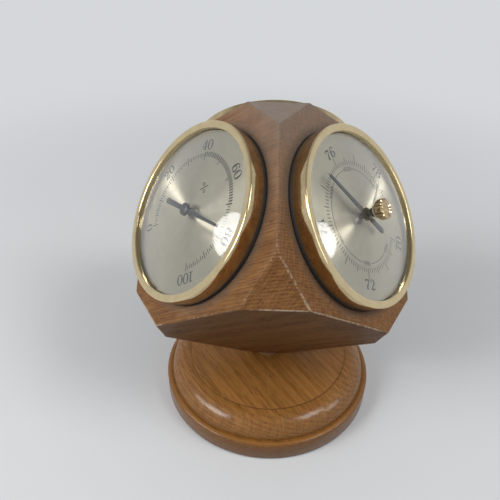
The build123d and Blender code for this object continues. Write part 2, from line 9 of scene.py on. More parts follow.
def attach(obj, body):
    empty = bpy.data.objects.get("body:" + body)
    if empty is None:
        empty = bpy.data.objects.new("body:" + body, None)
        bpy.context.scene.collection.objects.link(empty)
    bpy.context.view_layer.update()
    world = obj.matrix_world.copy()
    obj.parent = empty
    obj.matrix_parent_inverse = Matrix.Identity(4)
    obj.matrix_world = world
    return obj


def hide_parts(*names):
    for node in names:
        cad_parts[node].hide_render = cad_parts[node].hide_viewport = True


bl_info = {
    "name": "Table weather station",
    "version": (1, 0, 0),
    "blender": (4, 5, 0),
    "location": "3D View > Sidebar > Weather station",
    "description": "Dresses a corner-standing oak block with three brass dial instruments on a turned foot",
    "category": "Object",
}

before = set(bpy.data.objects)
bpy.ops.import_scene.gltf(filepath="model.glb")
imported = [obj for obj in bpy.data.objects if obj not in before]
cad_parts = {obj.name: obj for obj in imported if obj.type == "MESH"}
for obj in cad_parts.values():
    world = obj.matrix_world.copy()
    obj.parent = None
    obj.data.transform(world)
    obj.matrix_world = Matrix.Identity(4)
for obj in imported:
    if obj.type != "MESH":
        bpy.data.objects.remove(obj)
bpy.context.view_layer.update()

# Names of the instruments, with the side that each one faces
INSTRUMENTS = {"hygrometer": -60.0, "barometer": 60.0, "thermometer": 180.0}
FACE_TILT = math.atan(1 / math.sqrt(2))


def outward(azimuth):
    """The direction that an instrument's face looks in."""
    turn = math.radians(azimuth)
    level = math.cos(FACE_TILT)
    return Vector((math.sin(turn) * level, -math.cos(turn) * level, math.sin(FACE_TILT)))


# Sizes and colours that a user would change

def length(name, description, default):
    return FloatProperty(name=name, description=description, default=default, min=0.0,
                         subtype="DISTANCE", unit="LENGTH")


def angle(name, description, degrees):
    return FloatProperty(name=name, description=description, default=math.radians(degrees),
                         subtype="ANGLE", unit="ROTATION")


def colour(name, description, default):
    return FloatVectorProperty(name=name, description=description, default=default, min=0.0, max=1.0,
                               subtype="COLOR")


class BlockSizes(bpy.types.PropertyGroup):
    """Sizes of the oak block and of the foot under it."""
    cube_edge: length("Cube edge", "Edge of the cube before its corners are cut", 0.080)
    corner_cut: length("Corner cut", "How far along each edge a corner is cut", 0.0168)
    foot_corner_cut: length("Foot corner cut", "The same for the corner that stands on the foot", 0.0136)
    centre_height: length("Centre height", "Height of the cube's middle above the table", 0.0826296)
    edge_bevel: length("Edge bevel", "Width of the rubbed edges", 0.0004)
    wear_band: length("Wear band", "How far in from an edge the wood is rubbed", 0.0016)
    bore_radius: length("Bore radius", "Radius of the bores that hold the cases", 0.0303105)
    bore_depth: length("Bore depth", "Depth of the bores", 0.0069)
    deep_bore_radius: length("Deep bore radius", "Radius of the well behind the barometer", 0.0202)
    deep_bore_depth: length("Deep bore depth", "Depth of the well behind the barometer", 0.0169)
    foot_radius: length("Foot radius", "Radius of the turned foot", 0.050)
    foot_underside: length("Foot underside", "Height of the foot's wood above the table", 0.0006)
    rim_height: length("Rim height", "Height of the foot's ledge", 0.010)
    rim_round: length("Rim round", "Rounding of the foot's ledge", 0.0012)
    ledge_width: length("Ledge width", "Width of the foot's ledge", 0.0027)
    round_width: length("Round width", "Width of the quarter round", 0.0096)
    round_height: length("Round height", "Height of the quarter round", 0.0091)
    floor_step: length("Floor step", "How far the foot's flat top stands above the quarter round", 0.0008)
    pivot_bore: length("Pivot bore", "Radius of the hole for the pivot's bush", 0.00457)
    pocket_radius: length("Pocket radius", "Radius of the pocket for the pivot's head", 0.008)
    pocket_height: length("Pocket height", "Height of the seat in that pocket", 0.009)
    felt_radius: length("Felt radius", "Radius of the recess for the felt", 0.04652)
    felt_height: length("Felt height", "Height of the recess for the felt", 0.00152)


class DialSizes(bpy.types.PropertyGroup):
    """Sizes that the three instruments share, as heights above the oak face."""
    bezel_radius: length("Bezel radius", "Outer radius of the brass bezel", 0.0351)
    bezel_height: length("Bezel height", "Front of the bezel", 0.0079)
    bezel_wall: length("Bezel wall", "Thickness of the bezel's wall", 0.0006)
    rim_width: length("Rim width", "Width of the bezel's front rim", 0.0028)
    rim_depth: length("Rim depth", "Depth of the front rim", 0.0013)
    edge_round: length("Edge round", "Rounding of the bezel's outer edge", 0.0004)
    lip_round: length("Lip round", "Rounding of the bezel's inner lip", 0.00035)
    gasket_thickness: length("Gasket thickness", "Thickness of the black ring under the bezel", 0.0014)
    gasket_swell: length("Gasket swell", "How far the black ring swells past the bezel's lower edge", 0.0002)
    gasket_inset: length("Gasket inset", "How far the black ring stands back", 0.0003)
    gasket_inner: length("Gasket inner radius", "Inner radius of the black ring", 0.0300305)
    dial_radius: length("Dial radius", "Radius of the dial plate", 0.0344)
    dial_hole: length("Dial hole", "Radius of the hole for the arbor", 0.0015)
    dial_underside: length("Dial underside", "Underside of the dial plate", 0.0041)
    dial_top: length("Dial top", "Printed side of the dial plate", 0.0047)
    lens_underside: length("Lens underside", "Underside of the lens's flange", 0.0054)
    lens_thickness: length("Lens thickness", "Thickness of the lens", 0.0012)
    lens_rise: length("Lens rise", "How far the lens is domed", 0.005)
    lens_gap: length("Lens gap", "Gap between the dome and the bezel's lip", 0.0003)
    lens_hole: length("Lens hole", "Radius of the hole for the set hand's bush", 0.00147)
    ink_height: length("Ink height", "Thickness of the printing", 0.00003)


class HandSizes(bpy.types.PropertyGroup):
    """Sizes and readings of the pointers, the set hand and its knob."""
    height: length("Pointer height", "Underside of a pointer's blade", 0.0068)
    thickness: length("Pointer thickness", "Thickness of the blade", 0.00045)
    width: length("Pointer width", "Width of the blade at the hub", 0.0019)
    tail_swell: length("Tail swell", "How much wider the blade is at its tail", 0.0002)
    hub_radius: length("Hub radius", "Radius of the hub", 0.0025)
    hub_height: length("Hub height", "Height of the hub's straight side", 0.0008)
    crown_height: length("Crown height", "Height of the hub's crown", 0.0006)
    crown_radius: length("Crown radius", "Radius of the hub's flat crown", 0.0013)
    collet_radius: length("Collet radius", "Radius of the collet under the hub", 0.00125)
    collet_low: length("Collet height", "Lower end of the collet", 0.0051)
    arbor_hole: length("Arbor hole", "Radius of the hole for the arbor", 0.00082)
    hygrometer_rest: angle("Hygrometer reading", "Pointer's angle clockwise from the top", 76.5)
    thermometer_rest: angle("Thermometer reading", "Pointer's angle clockwise from the top", 37.0)
    barometer_rest: angle("Barometer reading", "Pointer's angle clockwise from the top", -25.0)
    set_hand_rest: angle("Set hand", "Set hand's angle clockwise from the top", 68.0)
    knob_base: length("Knob base", "Lower end of the knob", 0.01215)
    knob_neck: length("Knob neck", "Height where the knob widens", 0.01315)
    knob_top: length("Knob top", "Front of the knob", 0.01615)
    knob_radius: length("Knob radius", "Radius over the knob's ribs", 0.0039)
    knob_neck_radius: length("Knob neck radius", "Radius of the knob's neck", 0.0027)
    crown_round: length("Knob crown round", "Rounding of the knob's front edge", 0.0006)
    knob_flutes: IntProperty(name="Knob flutes", description="Hollows round the knob", default=18, min=3)
    set_stem_radius: length("Stem radius", "Radius of the stem through the lens", 0.0008)
    set_hub_top: length("Set hub top", "Upper side of the set hand's hub", 0.00995)
    set_hub_low: length("Set hub low", "Lower side of the set hand's hub", 0.00925)
    set_hub_radius: length("Set hub radius", "Radius of the set hand's hub", 0.0017)
    set_reach: length("Set hand reach", "Length of the set hand", 0.016)
    set_drop: length("Set hand drop", "How far the set hand bends down to its tip", 0.0009)
    set_thickness: length("Set hand thickness", "Thickness of the set hand", 0.0003)


class Finishes(bpy.types.PropertyGroup):
    """Colours of the finishes."""
    oak_light: colour("Oak, light", "Late wood of the block", (0.310, 0.146, 0.050))
    oak_dark: colour("Oak, dark", "Early wood of the block", (0.125, 0.048, 0.014))
    oak_pore: colour("Oak, pores", "Open pores of the block", (0.055, 0.020, 0.007))
    oak_rubbed: colour("Oak, rubbed", "Bare wood along rubbed edges", (0.62, 0.49, 0.34))
    # Also paints a pale sheen on the upper faces
    dust: colour("Dust", "Dust that has settled on the upper faces", (0.250, 0.222, 0.198))
    # Dust and old polish, darkened to paint the shade round the bezels
    grime: colour("Grime", "Dust and old polish round the bezels", (0.150, 0.122, 0.098))
    # Light foot wood also paints the highlight line on the ledge
    foot_light: colour("Foot, light", "Light wood of the foot", (0.334, 0.151, 0.039))
    foot_dark: colour("Foot, dark", "Dark wood of the foot", (0.167, 0.065, 0.012))
    # Foot pores also give the colour of the painted shadow at the flat top's step
    foot_pore: colour("Foot, pores", "Open pores of the foot", (0.100, 0.038, 0.009))
    brass: colour("Brass", "Polished brass", (0.740, 0.600, 0.355))
    # Tarnished brass also paints the wood reflected in the bezels' outer walls
    brass_tarnish: colour("Brass, tarnished", "Dulled brass", (0.460, 0.340, 0.185))
    dial: colour("Dial", "Champagne metal of the dials", (0.700, 0.645, 0.510))
    dial_shade: colour("Dial, shade", "Darker brush lines of the dials", (0.520, 0.470, 0.360))
    ink: colour("Ink", "Printing on the dials", (0.014, 0.014, 0.016))
    hand: colour("Hand", "Painted pointers", (0.014, 0.016, 0.019))
    rubber: colour("Rubber", "Black ring under a bezel", (0.014, 0.014, 0.015))
    floor: colour("Floor", "Plain floor of the stage", (0.72, 0.73, 0.74))


class StageSizes(bpy.types.PropertyGroup):
    """Where the camera stands and how the stage is lit."""
    camera_x: FloatProperty(name="Camera X", description="Camera's place to the right", default=-0.00596, unit="LENGTH")
    camera_y: FloatProperty(name="Camera Y", description="Camera's place to the rear", default=-0.19032, unit="LENGTH")
    camera_z: FloatProperty(name="Camera Z", description="Camera's height", default=0.21499, unit="LENGTH")
    camera_yaw: angle("Camera yaw", "Turn of the camera to the right", -1.105)
    camera_pitch: angle("Camera pitch", "How far the camera looks down", 35.676)
    camera_roll: angle("Camera roll", "Tilt of the camera", 0.984)
    lens: FloatProperty(name="Lens", description="Focal length in millimetres", default=38.815)
    left_bearing: angle("Left lamp bearing", "How far round to the left the side lamp stands", 74.0)
    left_rise: angle("Left lamp rise", "How high the left side lamp stands", 27.0)
    left_radius: length("Left lamp radius", "Radius of the left side lamp", 0.110)
    right_bearing: angle("Right lamp bearing", "How far round to the right the side lamp stands", 75.0)
    right_rise: angle("Right lamp rise", "How high the right side lamp stands", 24.0)
    right_radius: length("Right lamp radius", "Radius of the right side lamp", 0.092)
    side_glow: FloatProperty(name="Side lamp glow", description="Brightness of the side lamps' discs", default=6.0)
    back_bearing: angle("Back lamp bearing", "How far round the two back lamps stand", 142.0)
    back_rise: angle("Back lamp rise", "How high the two back lamps stand", 36.5)
    low_bearing: angle("Low lamp bearing", "How far round the two low back lamps stand", 149.0)
    low_rise: angle("Low lamp rise", "How high the two low back lamps stand", 9.0)
    back_radius: length("Back lamp radius", "Radius of the back lamps", 0.070)
    back_glow: FloatProperty(name="Back lamp glow", description="Brightness of the back lamps' discs", default=60.0)
    lamp_distance: length("Lamp distance", "Distance of the side and back lamps", 0.635)
    key_size: length("Key lamp size", "Width of the two soft lamps in front", 0.34)
    key_glow: FloatProperty(name="Key lamp glow", description="Brightness of the two soft lamps in front", default=12.2)
    room_light: FloatProperty(name="Room light", description="Strength of the light from all round", default=0.32)
    room_shine: FloatProperty(name="Room shine", description="Brightness of the walls in reflections", default=0.70)


# Placing and finishing a mesh

def face_matrix(azimuth, sizes):
    """The frame of one instrument: X to the reader's right, Y up the face, Z outwards."""
    normal = outward(azimuth)
    turn = math.radians(azimuth)
    right = Vector((math.cos(turn), math.sin(turn), 0.0))
    up = normal.cross(right)
    place = Vector((0.0, 0.0, sizes.centre_height)) + normal * (sizes.cube_edge / 2)
    matrix = Matrix((right, up, normal)).transposed().to_4x4()
    matrix.translation = place
    return matrix


def finish_piece(name, bm, body, finish, stands_for=None, sharp=32.0):
    """Makes an object from a bmesh, gives it its finish and lets it ride on a body."""
    if not bm.faces:
        raise RuntimeError(name + " has no faces")
    bmesh.ops.recalc_face_normals(bm, faces=bm.faces[:])
    for face in bm.faces:
        face.smooth = True
    mesh = bpy.data.meshes.new(name)
    bm.to_mesh(mesh)
    bm.free()
    mesh.set_sharp_from_angle(angle=math.radians(sharp))
    mesh.materials.append(material_named(finish))
    piece = bpy.data.objects.new(name, mesh)
    bpy.context.scene.collection.objects.link(piece)
    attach(piece, body)
    if stands_for:
        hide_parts(stands_for)
    return piece


def arc(start, centre, degrees, steps, stretch=1.0):
    """Points of an arc of radius and height, swept from a start point round a centre."""
    bm = bmesh.new()
    seed = bm.verts.new((start[0], 0.0, start[1]))
    first = seed.co.copy()
    middle = Vector((centre[0], 0.0, centre[1]))
    bmesh.ops.spin(bm, geom=[seed], cent=middle, axis=(0, 1, 0), angle=math.radians(degrees), steps=steps)
    swept = sorted((vert.co.copy() for vert in bm.verts), key=lambda place: (place - first).length)
    bm.free()
    return [(place.x, centre[1] + (place.z - centre[1]) * stretch) for place in swept]


def lathe(bm, outline, segments, closed=True):
    """Turns an outline of radius and height about the Z axis."""
    verts = [bm.verts.new((radius, 0.0, height)) for radius, height in outline]
    pairs = list(zip(verts, verts[1:]))
    if closed:
        pairs.append((verts[-1], verts[0]))
    edges = [bm.edges.new(pair) for pair in pairs]
    bmesh.ops.spin(bm, geom=verts + edges, cent=(0, 0, 0), axis=(0, 0, 1), angle=math.tau, steps=segments,
                   use_merge=True)
    bmesh.ops.remove_doubles(bm, verts=bm.verts[:], dist=1e-7)


def ring_edges(bm, radius, height):
    """The turned edges at one radius and height."""
    def on_ring(vert):
        return abs(math.hypot(vert.co.x, vert.co.y) - radius) < 2e-6 and abs(vert.co.z - height) < 2e-6
    return [edge for edge in bm.edges if all(on_ring(vert) for vert in edge.verts)]


def round_off(bm, edges, width, segments=3):
    """Rounds edges to a width."""
    bmesh.ops.bevel(bm, geom=edges, offset=width, offset_type="OFFSET", segments=segments, profile=0.5,
                    affect="EDGES", material=-1, clamp_overlap=True)


def blade(bm, corners, thickness):
    """A flat shape from its corners, given a thickness."""
    face = bm.faces.new([bm.verts.new(corner) for corner in corners])
    solid = bmesh.ops.extrude_face_region(bm, geom=[face])["geom"]
    moved = [item for item in solid if isinstance(item, bmesh.types.BMVert)]
    bmesh.ops.translate(bm, verts=moved, vec=(0.0, 0.0, thickness))


def move(bm, matrix):
    """Moves or turns a whole bmesh."""
    bmesh.ops.transform(bm, matrix=matrix, verts=bm.verts[:])


def append_mesh(bm, source):
    """Adds one bmesh to another and frees it."""
    mesh = bpy.data.meshes.new("part_of_piece")
    source.to_mesh(mesh)
    source.free()
    bm.from_mesh(mesh)
    bpy.data.meshes.remove(mesh)


# Wiring a material

class Wiring:
    """Short ways to add and join the nodes of one tree."""

    def __init__(self, tree):
        self.tree = tree

    def plug(self, socket, value):
        if isinstance(value, bpy.types.NodeSocket):
            self.tree.links.new(value, socket)
        elif value is not None:
            socket.default_value = value

    def fill(self, node, inputs):
        for key, value in inputs.items():
            self.plug(node.inputs[key], value)

    def node(self, kind, inputs=None, **settings):
        node = self.tree.nodes.new(kind)
        for key, value in settings.items():
            setattr(node, key, value)
        self.fill(node, inputs or {})
        return node

    def math(self, operation, first, second=None, third=None, clamp=False):
        values = {0: first, 1: second, 2: third}
        return self.node("ShaderNodeMath", values, operation=operation, use_clamp=clamp).outputs[0]

    def vector(self, operation, first, second=None):
        node = self.node("ShaderNodeVectorMath", {0: first, 1: second}, operation=operation)
        return node.outputs["Value" if operation in {"DOT_PRODUCT", "LENGTH", "DISTANCE"} else "Vector"]

    def scaled(self, vector, factors):
        return self.vector("MULTIPLY", vector, factors)

    def noise(self, vector, scale, detail=2.0, roughness=0.5, distortion=0.0):
        inputs = {"Vector": vector, "Scale": scale, "Detail": detail, "Roughness": roughness, "Distortion": distortion}
        return self.node("ShaderNodeTexNoise", inputs).outputs[0]

    def remap(self, value, low, high, to_low=0.0, to_high=1.0, smooth=False):
        inputs = {"Value": value, "From Min": low, "From Max": high, "To Min": to_low, "To Max": to_high}
        kind = "SMOOTHSTEP" if smooth else "LINEAR"
        return self.node("ShaderNodeMapRange", inputs, interpolation_type=kind, clamp=True).outputs[0]

    def mix(self, factor, first, second):
        def wide(value):
            return tuple(value) + (1.0,) if not isinstance(value, bpy.types.NodeSocket) and len(value) == 3 else value
        node = self.node("ShaderNodeMix", data_type="RGBA", clamp_factor=True)
        self.plug(node.inputs[0], factor)
        self.plug(node.inputs[6], wide(first))
        self.plug(node.inputs[7], wide(second))
        return node.outputs[2]

    def split(self, vector):
        return self.node("ShaderNodeSeparateXYZ", {0: vector}).outputs

    def combine(self, x, y, z):
        return self.node("ShaderNodeCombineXYZ", {0: x, 1: y, 2: z}).outputs[0]

    def group(self, tree, inputs):
        return self.node("ShaderNodeGroup", inputs, node_tree=tree)

    def bump(self, height, strength, distance):
        inputs = {"Strength": strength, "Distance": distance, "Height": height}
        return self.node("ShaderNodeBump", inputs).outputs[0]

    def here(self):
        return self.node("ShaderNodeTexCoord").outputs["Object"]

    def blend(self, factor, first, second):
        """One shader faded into another."""
        return self.node("ShaderNodeMixShader", {0: factor, 1: first.outputs[0], 2: second.outputs[0]})

    def show(self, shader):
        """Joins a shader to the material's output."""
        output = next(node for node in self.tree.nodes if node.type == "OUTPUT_MATERIAL")
        self.plug(output.inputs["Surface"], shader.outputs[0])

    def seen(self, path):
        """One for a ray that shows straight, in a mirror or through glass."""
        indirect = self.math("MAXIMUM", path.outputs["Is Glossy Ray"], path.outputs["Is Transmission Ray"])
        return self.math("MAXIMUM", path.outputs["Is Camera Ray"], indirect)


def start_group(name, vectors, values, results, kind="NodeSocketFloat"):
    """A new shader group's wiring, with its input and output nodes."""
    tree = bpy.data.node_groups.new(name, "ShaderNodeTree")
    for label in vectors:
        tree.interface.new_socket(label, in_out="INPUT", socket_type="NodeSocketVector")
    for label in values:
        tree.interface.new_socket(label, in_out="INPUT", socket_type="NodeSocketFloat")
    for label in results:
        tree.interface.new_socket(label, in_out="OUTPUT", socket_type=kind)
    wiring = Wiring(tree)
    return wiring, tree.nodes.new("NodeGroupInput"), tree.nodes.new("NodeGroupOutput")


def timber_group():
    """Figure of a board: X crosses the growth rings, Y lies along them and Z follows the fibres."""
    if "timber_figure" in bpy.data.node_groups:
        return bpy.data.node_groups["timber_figure"]
    values = ("Ring Pitch", "Curve", "Wander", "Pore Length")
    labels = ("Rings", "Streaks", "Pores", "Rays", "Cloud")
    wiring, source, result = start_group("timber_figure", ["Vector"], values, labels)
    place = source.outputs["Vector"]
    x, y, z = wiring.split(place)
    slow = wiring.noise(wiring.scaled(place, (26.0, 26.0, 7.0)), 1.0, 3.0, 0.5)
    bent = wiring.math("MULTIPLY_ADD", wiring.math("MULTIPLY", y, y), source.outputs["Curve"], x)
    depth = wiring.math("MULTIPLY_ADD", wiring.math("SUBTRACT", slow, 0.5), source.outputs["Wander"], bent)
    season = wiring.math("FRACT", wiring.math("DIVIDE", depth, source.outputs["Ring Pitch"]))
    rings = wiring.math("MULTIPLY", wiring.remap(season, 0.0, 0.18), wiring.remap(season, 0.35, 1.0, 1.0, 0.0))

    def layered(across, along_ring, along_fibre):
        return wiring.combine(wiring.math("MULTIPLY", depth, across), wiring.math("MULTIPLY", y, along_ring),
                              wiring.math("MULTIPLY", z, along_fibre))
    streaks = wiring.noise(layered(1500.0, 330.0, 34.0), 1.0, 3.0, 0.68)
    pore_step = wiring.math("DIVIDE", 1.0, source.outputs["Pore Length"])
    pore_noise = wiring.noise(layered(2300.0, 2300.0, pore_step), 1.0, 1.5, 0.6)
    porous = wiring.math("MULTIPLY_ADD", rings, 0.75, 0.25)
    pores = wiring.math("MULTIPLY", wiring.remap(pore_noise, 0.53, 0.66), porous)
    rays = wiring.remap(wiring.noise(layered(170.0, 1500.0, 70.0), 1.0, 2.0, 0.6), 0.44, 0.62)
    cloud = wiring.noise(wiring.scaled(place, (70.0, 70.0, 20.0)), 1.0, 3.0, 0.55)
    for label, value in zip(labels, (rings, streaks, pores, rays, cloud)):
        wiring.plug(result.inputs[label], value)
    return wiring.tree


def along_group():
    """Turns a place into a board's own frame, with Z along the fibres."""
    if "board_frame" in bpy.data.node_groups:
        return bpy.data.node_groups["board_frame"]
    axes = ("Across", "Around", "Along")
    wiring, source, result = start_group("board_frame", ["Vector", *axes], [], ["Vector"], "NodeSocketVector")
    place = source.outputs["Vector"]
    parts = [wiring.vector("DOT_PRODUCT", place, source.outputs[label]) for label in axes]
    wiring.plug(result.inputs["Vector"], wiring.combine(*parts))
    return wiring.tree


def halo_group():
    """A band round an instrument's axis, on the side that the instrument faces."""
    if "bezel_halo" in bpy.data.node_groups:
        return bpy.data.node_groups["bezel_halo"]
    wiring, source, result = start_group("bezel_halo", ["Vector", "Axis"], ["Inner", "Outer", "Face"], ["Mask"])
    place, axis = source.outputs["Vector"], source.outputs["Axis"]
    reach = wiring.vector("LENGTH", wiring.vector("CROSS_PRODUCT", place, axis))
    band = wiring.remap(reach, source.outputs["Inner"], source.outputs["Outer"], 1.0, 0.0, smooth=True)
    front = wiring.math("GREATER_THAN", wiring.vector("DOT_PRODUCT", place, axis), source.outputs["Face"])
    wiring.plug(result.inputs["Mask"], wiring.math("MULTIPLY", band, front))
    return wiring.tree


def crease_group():
    """A soft line round the foot at one radius and height."""
    if "turned_crease" in bpy.data.node_groups:
        return bpy.data.node_groups["turned_crease"]
    wiring, source, result = start_group("turned_crease", ["Vector"], ["Radius", "Height", "Width"], ["Mask"])
    x, y, z = wiring.split(source.outputs["Vector"])
    radius = wiring.vector("LENGTH", wiring.combine(x, y, 0.0))
    aside = wiring.math("SUBTRACT", radius, source.outputs["Radius"])
    above = wiring.math("SUBTRACT", z, source.outputs["Height"])
    gap = wiring.vector("LENGTH", wiring.combine(aside, above, 0.0))
    line = wiring.remap(gap, 0.0, source.outputs["Width"], 1.0, 0.0, smooth=True)
    wiring.plug(result.inputs["Mask"], line)
    return wiring.tree


def patina_group():
    """Cloudy dulling and fine scratches that metal pieces share."""
    if "metal_patina" in bpy.data.node_groups:
        return bpy.data.node_groups["metal_patina"]
    values = ("Cloud Scale", "Scratch Scale")
    wiring, source, result = start_group("metal_patina", ["Vector"], values, ["Cloud", "Scratch"])
    place = source.outputs["Vector"]
    cloud = wiring.noise(place, source.outputs["Cloud Scale"], 5.0, 0.62)
    streak = wiring.noise(wiring.scaled(place, (1.0, 1.0, 9.0)), source.outputs["Scratch Scale"], 2.0, 0.7, 0.4)
    wiring.plug(result.inputs["Cloud"], wiring.remap(cloud, 0.38, 0.72))
    wiring.plug(result.inputs["Scratch"], wiring.remap(streak, 0.55, 0.75))
    return wiring.tree


def start_material(name):
    """A new material's wiring and its surface shader."""
    if name in bpy.data.materials:
        raise RuntimeError("there is a finish named " + name + " already")
    material = bpy.data.materials.new(name)
    material.use_nodes = True
    surface = next(node for node in material.node_tree.nodes if node.type == "BSDF_PRINCIPLED")
    return Wiring(material.node_tree), surface


def timber_colour(wiring, place, tones, grain, axes):
    """Colour, relief and figure of one board."""
    light, dark, pore = tones
    across, around, along = axes
    board = wiring.group(along_group(), {"Vector": place, "Across": across, "Around": around, "Along": along})
    figure = wiring.group(timber_group(), {"Vector": board.outputs[0], **grain})
    streaks = wiring.remap(figure.outputs["Streaks"], 0.30, 0.70)
    tone = wiring.math("MULTIPLY_ADD", figure.outputs["Rings"], 0.26, wiring.math("MULTIPLY_ADD", streaks, 0.66, -0.11))
    tone = wiring.math("MULTIPLY_ADD", figure.outputs["Cloud"], 0.36, wiring.math("SUBTRACT", tone, 0.12), clamp=True)
    tone = wiring.math("MULTIPLY_ADD", figure.outputs["Rays"], -0.34, wiring.math("ADD", tone, 0.14), clamp=True)
    base = wiring.mix(tone, light, dark)
    base = wiring.mix(wiring.math("MULTIPLY", figure.outputs["Pores"], 0.55), base, pore)
    relief = wiring.math("SUBTRACT", wiring.math("MULTIPLY", streaks, 0.30), figure.outputs["Pores"])
    return base, relief, figure


def oak_material(context):
    """Stained oak, rubbed along its lower edges, dusty on top with a painted sheen, grimy round the bezels with painted
    shade, and with a painted contact shadow where the bezels meet it.
    """
    finish = context.scene.weather_finish
    sizes = context.scene.weather_block
    dials = context.scene.weather_dial
    wiring, surface = start_material("stained_oak")
    middle = (0.0, 0.0, sizes.centre_height)
    place = wiring.vector("SUBTRACT", wiring.here(), middle)
    axes = (outward(180.0), outward(-60.0), outward(60.0))
    tones = (finish.oak_light, finish.oak_dark, finish.oak_pore)
    grain = {"Ring Pitch": 0.0011, "Curve": 2.4, "Wander": 0.0035, "Pore Length": 0.0035}
    base, relief, figure = timber_colour(wiring, place, tones, grain, axes)
    edge = wiring.node("ShaderNodeAttribute", attribute_name="edge").outputs["Fac"]
    patches = wiring.math("MULTIPLY", wiring.noise(place, 55.0, 2.0, 0.5), 1.2)
    chips = wiring.math("MULTIPLY_ADD", wiring.noise(place, 900.0, 3.0, 0.7), 0.9, patches)
    low = wiring.remap(wiring.split(place)[2], 0.026, 0.040, 1.0, 0.0)
    rubbed = wiring.math("MULTIPLY", wiring.remap(chips, 1.04, 1.24), wiring.remap(edge, 0.90, 0.99))
    base = wiring.mix(wiring.math("MULTIPLY", rubbed, wiring.math("MULTIPLY", low, 0.70)), base, finish.oak_rubbed)

    def halo(inner, outer):
        """A band round all three bezels that fades from one radius to another."""
        band = 0.0
        for azimuth in INSTRUMENTS.values():
            inputs = {"Vector": place, "Axis": outward(azimuth), "Inner": inner, "Outer": outer,
                      "Face": sizes.cube_edge / 2 - 0.001}
            band = wiring.math("MAXIMUM", wiring.group(halo_group(), inputs).outputs[0], band)
        return band
    near = halo(dials.bezel_radius, dials.bezel_radius + 0.0050)
    # Painted contact shadow: a narrow near-black band where each bezel meets the wood
    contact_shadow = halo(dials.bezel_radius - 0.0003, dials.bezel_radius + 0.0004)
    # Grime round the bezels, made darker as painted shade next to the standing bezels
    grime = wiring.math("MULTIPLY", near, wiring.remap(wiring.noise(place, 260.0, 3.0, 0.6), 0.25, 0.75, 0.25, 0.75))
    # Dust on faces that look up and high on the block, which also paints the pale sheen of the room seen at grazing
    # angles there
    up = wiring.vector("DOT_PRODUCT", wiring.node("ShaderNodeNewGeometry").outputs["Normal"], (0.0, 0.0, 1.0))
    lying = wiring.remap(up, 0.62, 0.95, 0.0, 0.85, smooth=True)
    rise = wiring.vector("DOT_PRODUCT", place, (0.45, 0.0, 0.90))
    dust_and_sheen = wiring.math("MAXIMUM", lying, wiring.remap(rise, 0.026, 0.062, 0.0, 0.62, smooth=True))
    dust_and_sheen = wiring.math("MULTIPLY", dust_and_sheen, wiring.remap(wiring.noise(place, 120.0, 4.0, 0.6), 0.3, 0.7, 0.75, 1.0))
    base = wiring.mix(dust_and_sheen, base, finish.dust)
    base = wiring.mix(grime, base, finish.grime)
    # Paints the contact shadow under the bezels
    base = wiring.mix(wiring.math("MULTIPLY", contact_shadow, 0.85), base, (0.012, 0.009, 0.008))
    rough = wiring.math("MULTIPLY_ADD", figure.outputs["Pores"], 0.25, wiring.math("MULTIPLY_ADD", near, 0.20, 0.50))
    wiring.fill(surface, {"Base Color": base, "Roughness": rough, "Normal": wiring.bump(relief, 0.30, 0.00025),
                          "Specular IOR Level": 0.22})


def foot_material(context):
    """Lacquered wood with a painted shadow line round its flat top, a painted highlight line on its ledge, and darker
    towards the bottom.
    """
    finish = context.scene.weather_finish
    sizes = context.scene.weather_block
    wiring, surface = start_material("golden_lacquer")
    place = wiring.here()
    turn = math.radians(-54.4)
    along = Vector((math.cos(turn), math.sin(turn), 0.0))
    tilt = math.radians(62.0)
    level = Vector((-along.y, along.x, 0.0))
    across = level * math.cos(tilt) + Vector((0.0, 0.0, math.sin(tilt)))
    axes = (across, along.cross(across), along)
    tones = (finish.foot_light, finish.foot_dark, finish.foot_pore)
    grain = {"Ring Pitch": 0.0017, "Curve": 4.0, "Wander": 0.003, "Pore Length": 0.0045}
    base, relief, figure = timber_colour(wiring, place, tones, grain, axes)
    ledge = sizes.foot_radius - sizes.ledge_width
    crest = sizes.rim_height + sizes.round_height
    # Painted shadow: a dark line in the step round the flat top
    floor_step = {"Vector": place, "Radius": ledge - sizes.round_width, "Height": crest, "Width": 0.0005}
    step_shadow = wiring.group(crease_group(), floor_step).outputs[0]
    base = wiring.mix(wiring.math("MULTIPLY", step_shadow, 0.60), base, finish.foot_pore)
    # Darker towards the bottom, on the rim and the foot of the quarter round
    height = wiring.split(place)[2]
    darker_towards_bottom = wiring.remap(height, sizes.rim_height + 0.0004, sizes.rim_height + 0.0020, 0.45, 0.0)
    base = wiring.mix(darker_towards_bottom, base, finish.foot_dark)
    # Painted highlight: a pale line along the ledge
    ledge_highlight_line = {"Vector": place, "Radius": sizes.foot_radius - 0.0012, "Height": sizes.rim_height, "Width": 0.0009}
    ledge_highlight = wiring.group(crease_group(), ledge_highlight_line).outputs[0]
    base = wiring.mix(wiring.math("MULTIPLY", ledge_highlight, 0.75), base, finish.foot_light)
    rough = wiring.math("MULTIPLY_ADD", figure.outputs["Pores"], 0.18, 0.46)
    worn = wiring.remap(wiring.noise(place, 420.0, 3.0, 0.6), 0.35, 0.75, 0.75, 0.50)
    wiring.fill(surface, {"Base Color": base, "Roughness": rough, "Normal": wiring.bump(relief, 0.10, 0.0002),
                          "Specular IOR Level": 0.15, "Coat Weight": worn, "Coat Roughness": 0.17, "Coat IOR": 1.42})


def worn_metal(wiring, cloud_scale, roughness):
    """A metal's cloudy dulling, with the roughness that goes with it."""
    inputs = {"Vector": wiring.here(), "Cloud Scale": cloud_scale, "Scratch Scale": 1500.0}
    cloud, scratch = wiring.group(patina_group(), inputs).outputs
    return cloud, wiring.math("MULTIPLY_ADD", scratch, 0.05, wiring.math("MULTIPLY_ADD", cloud, 0.06, roughness))


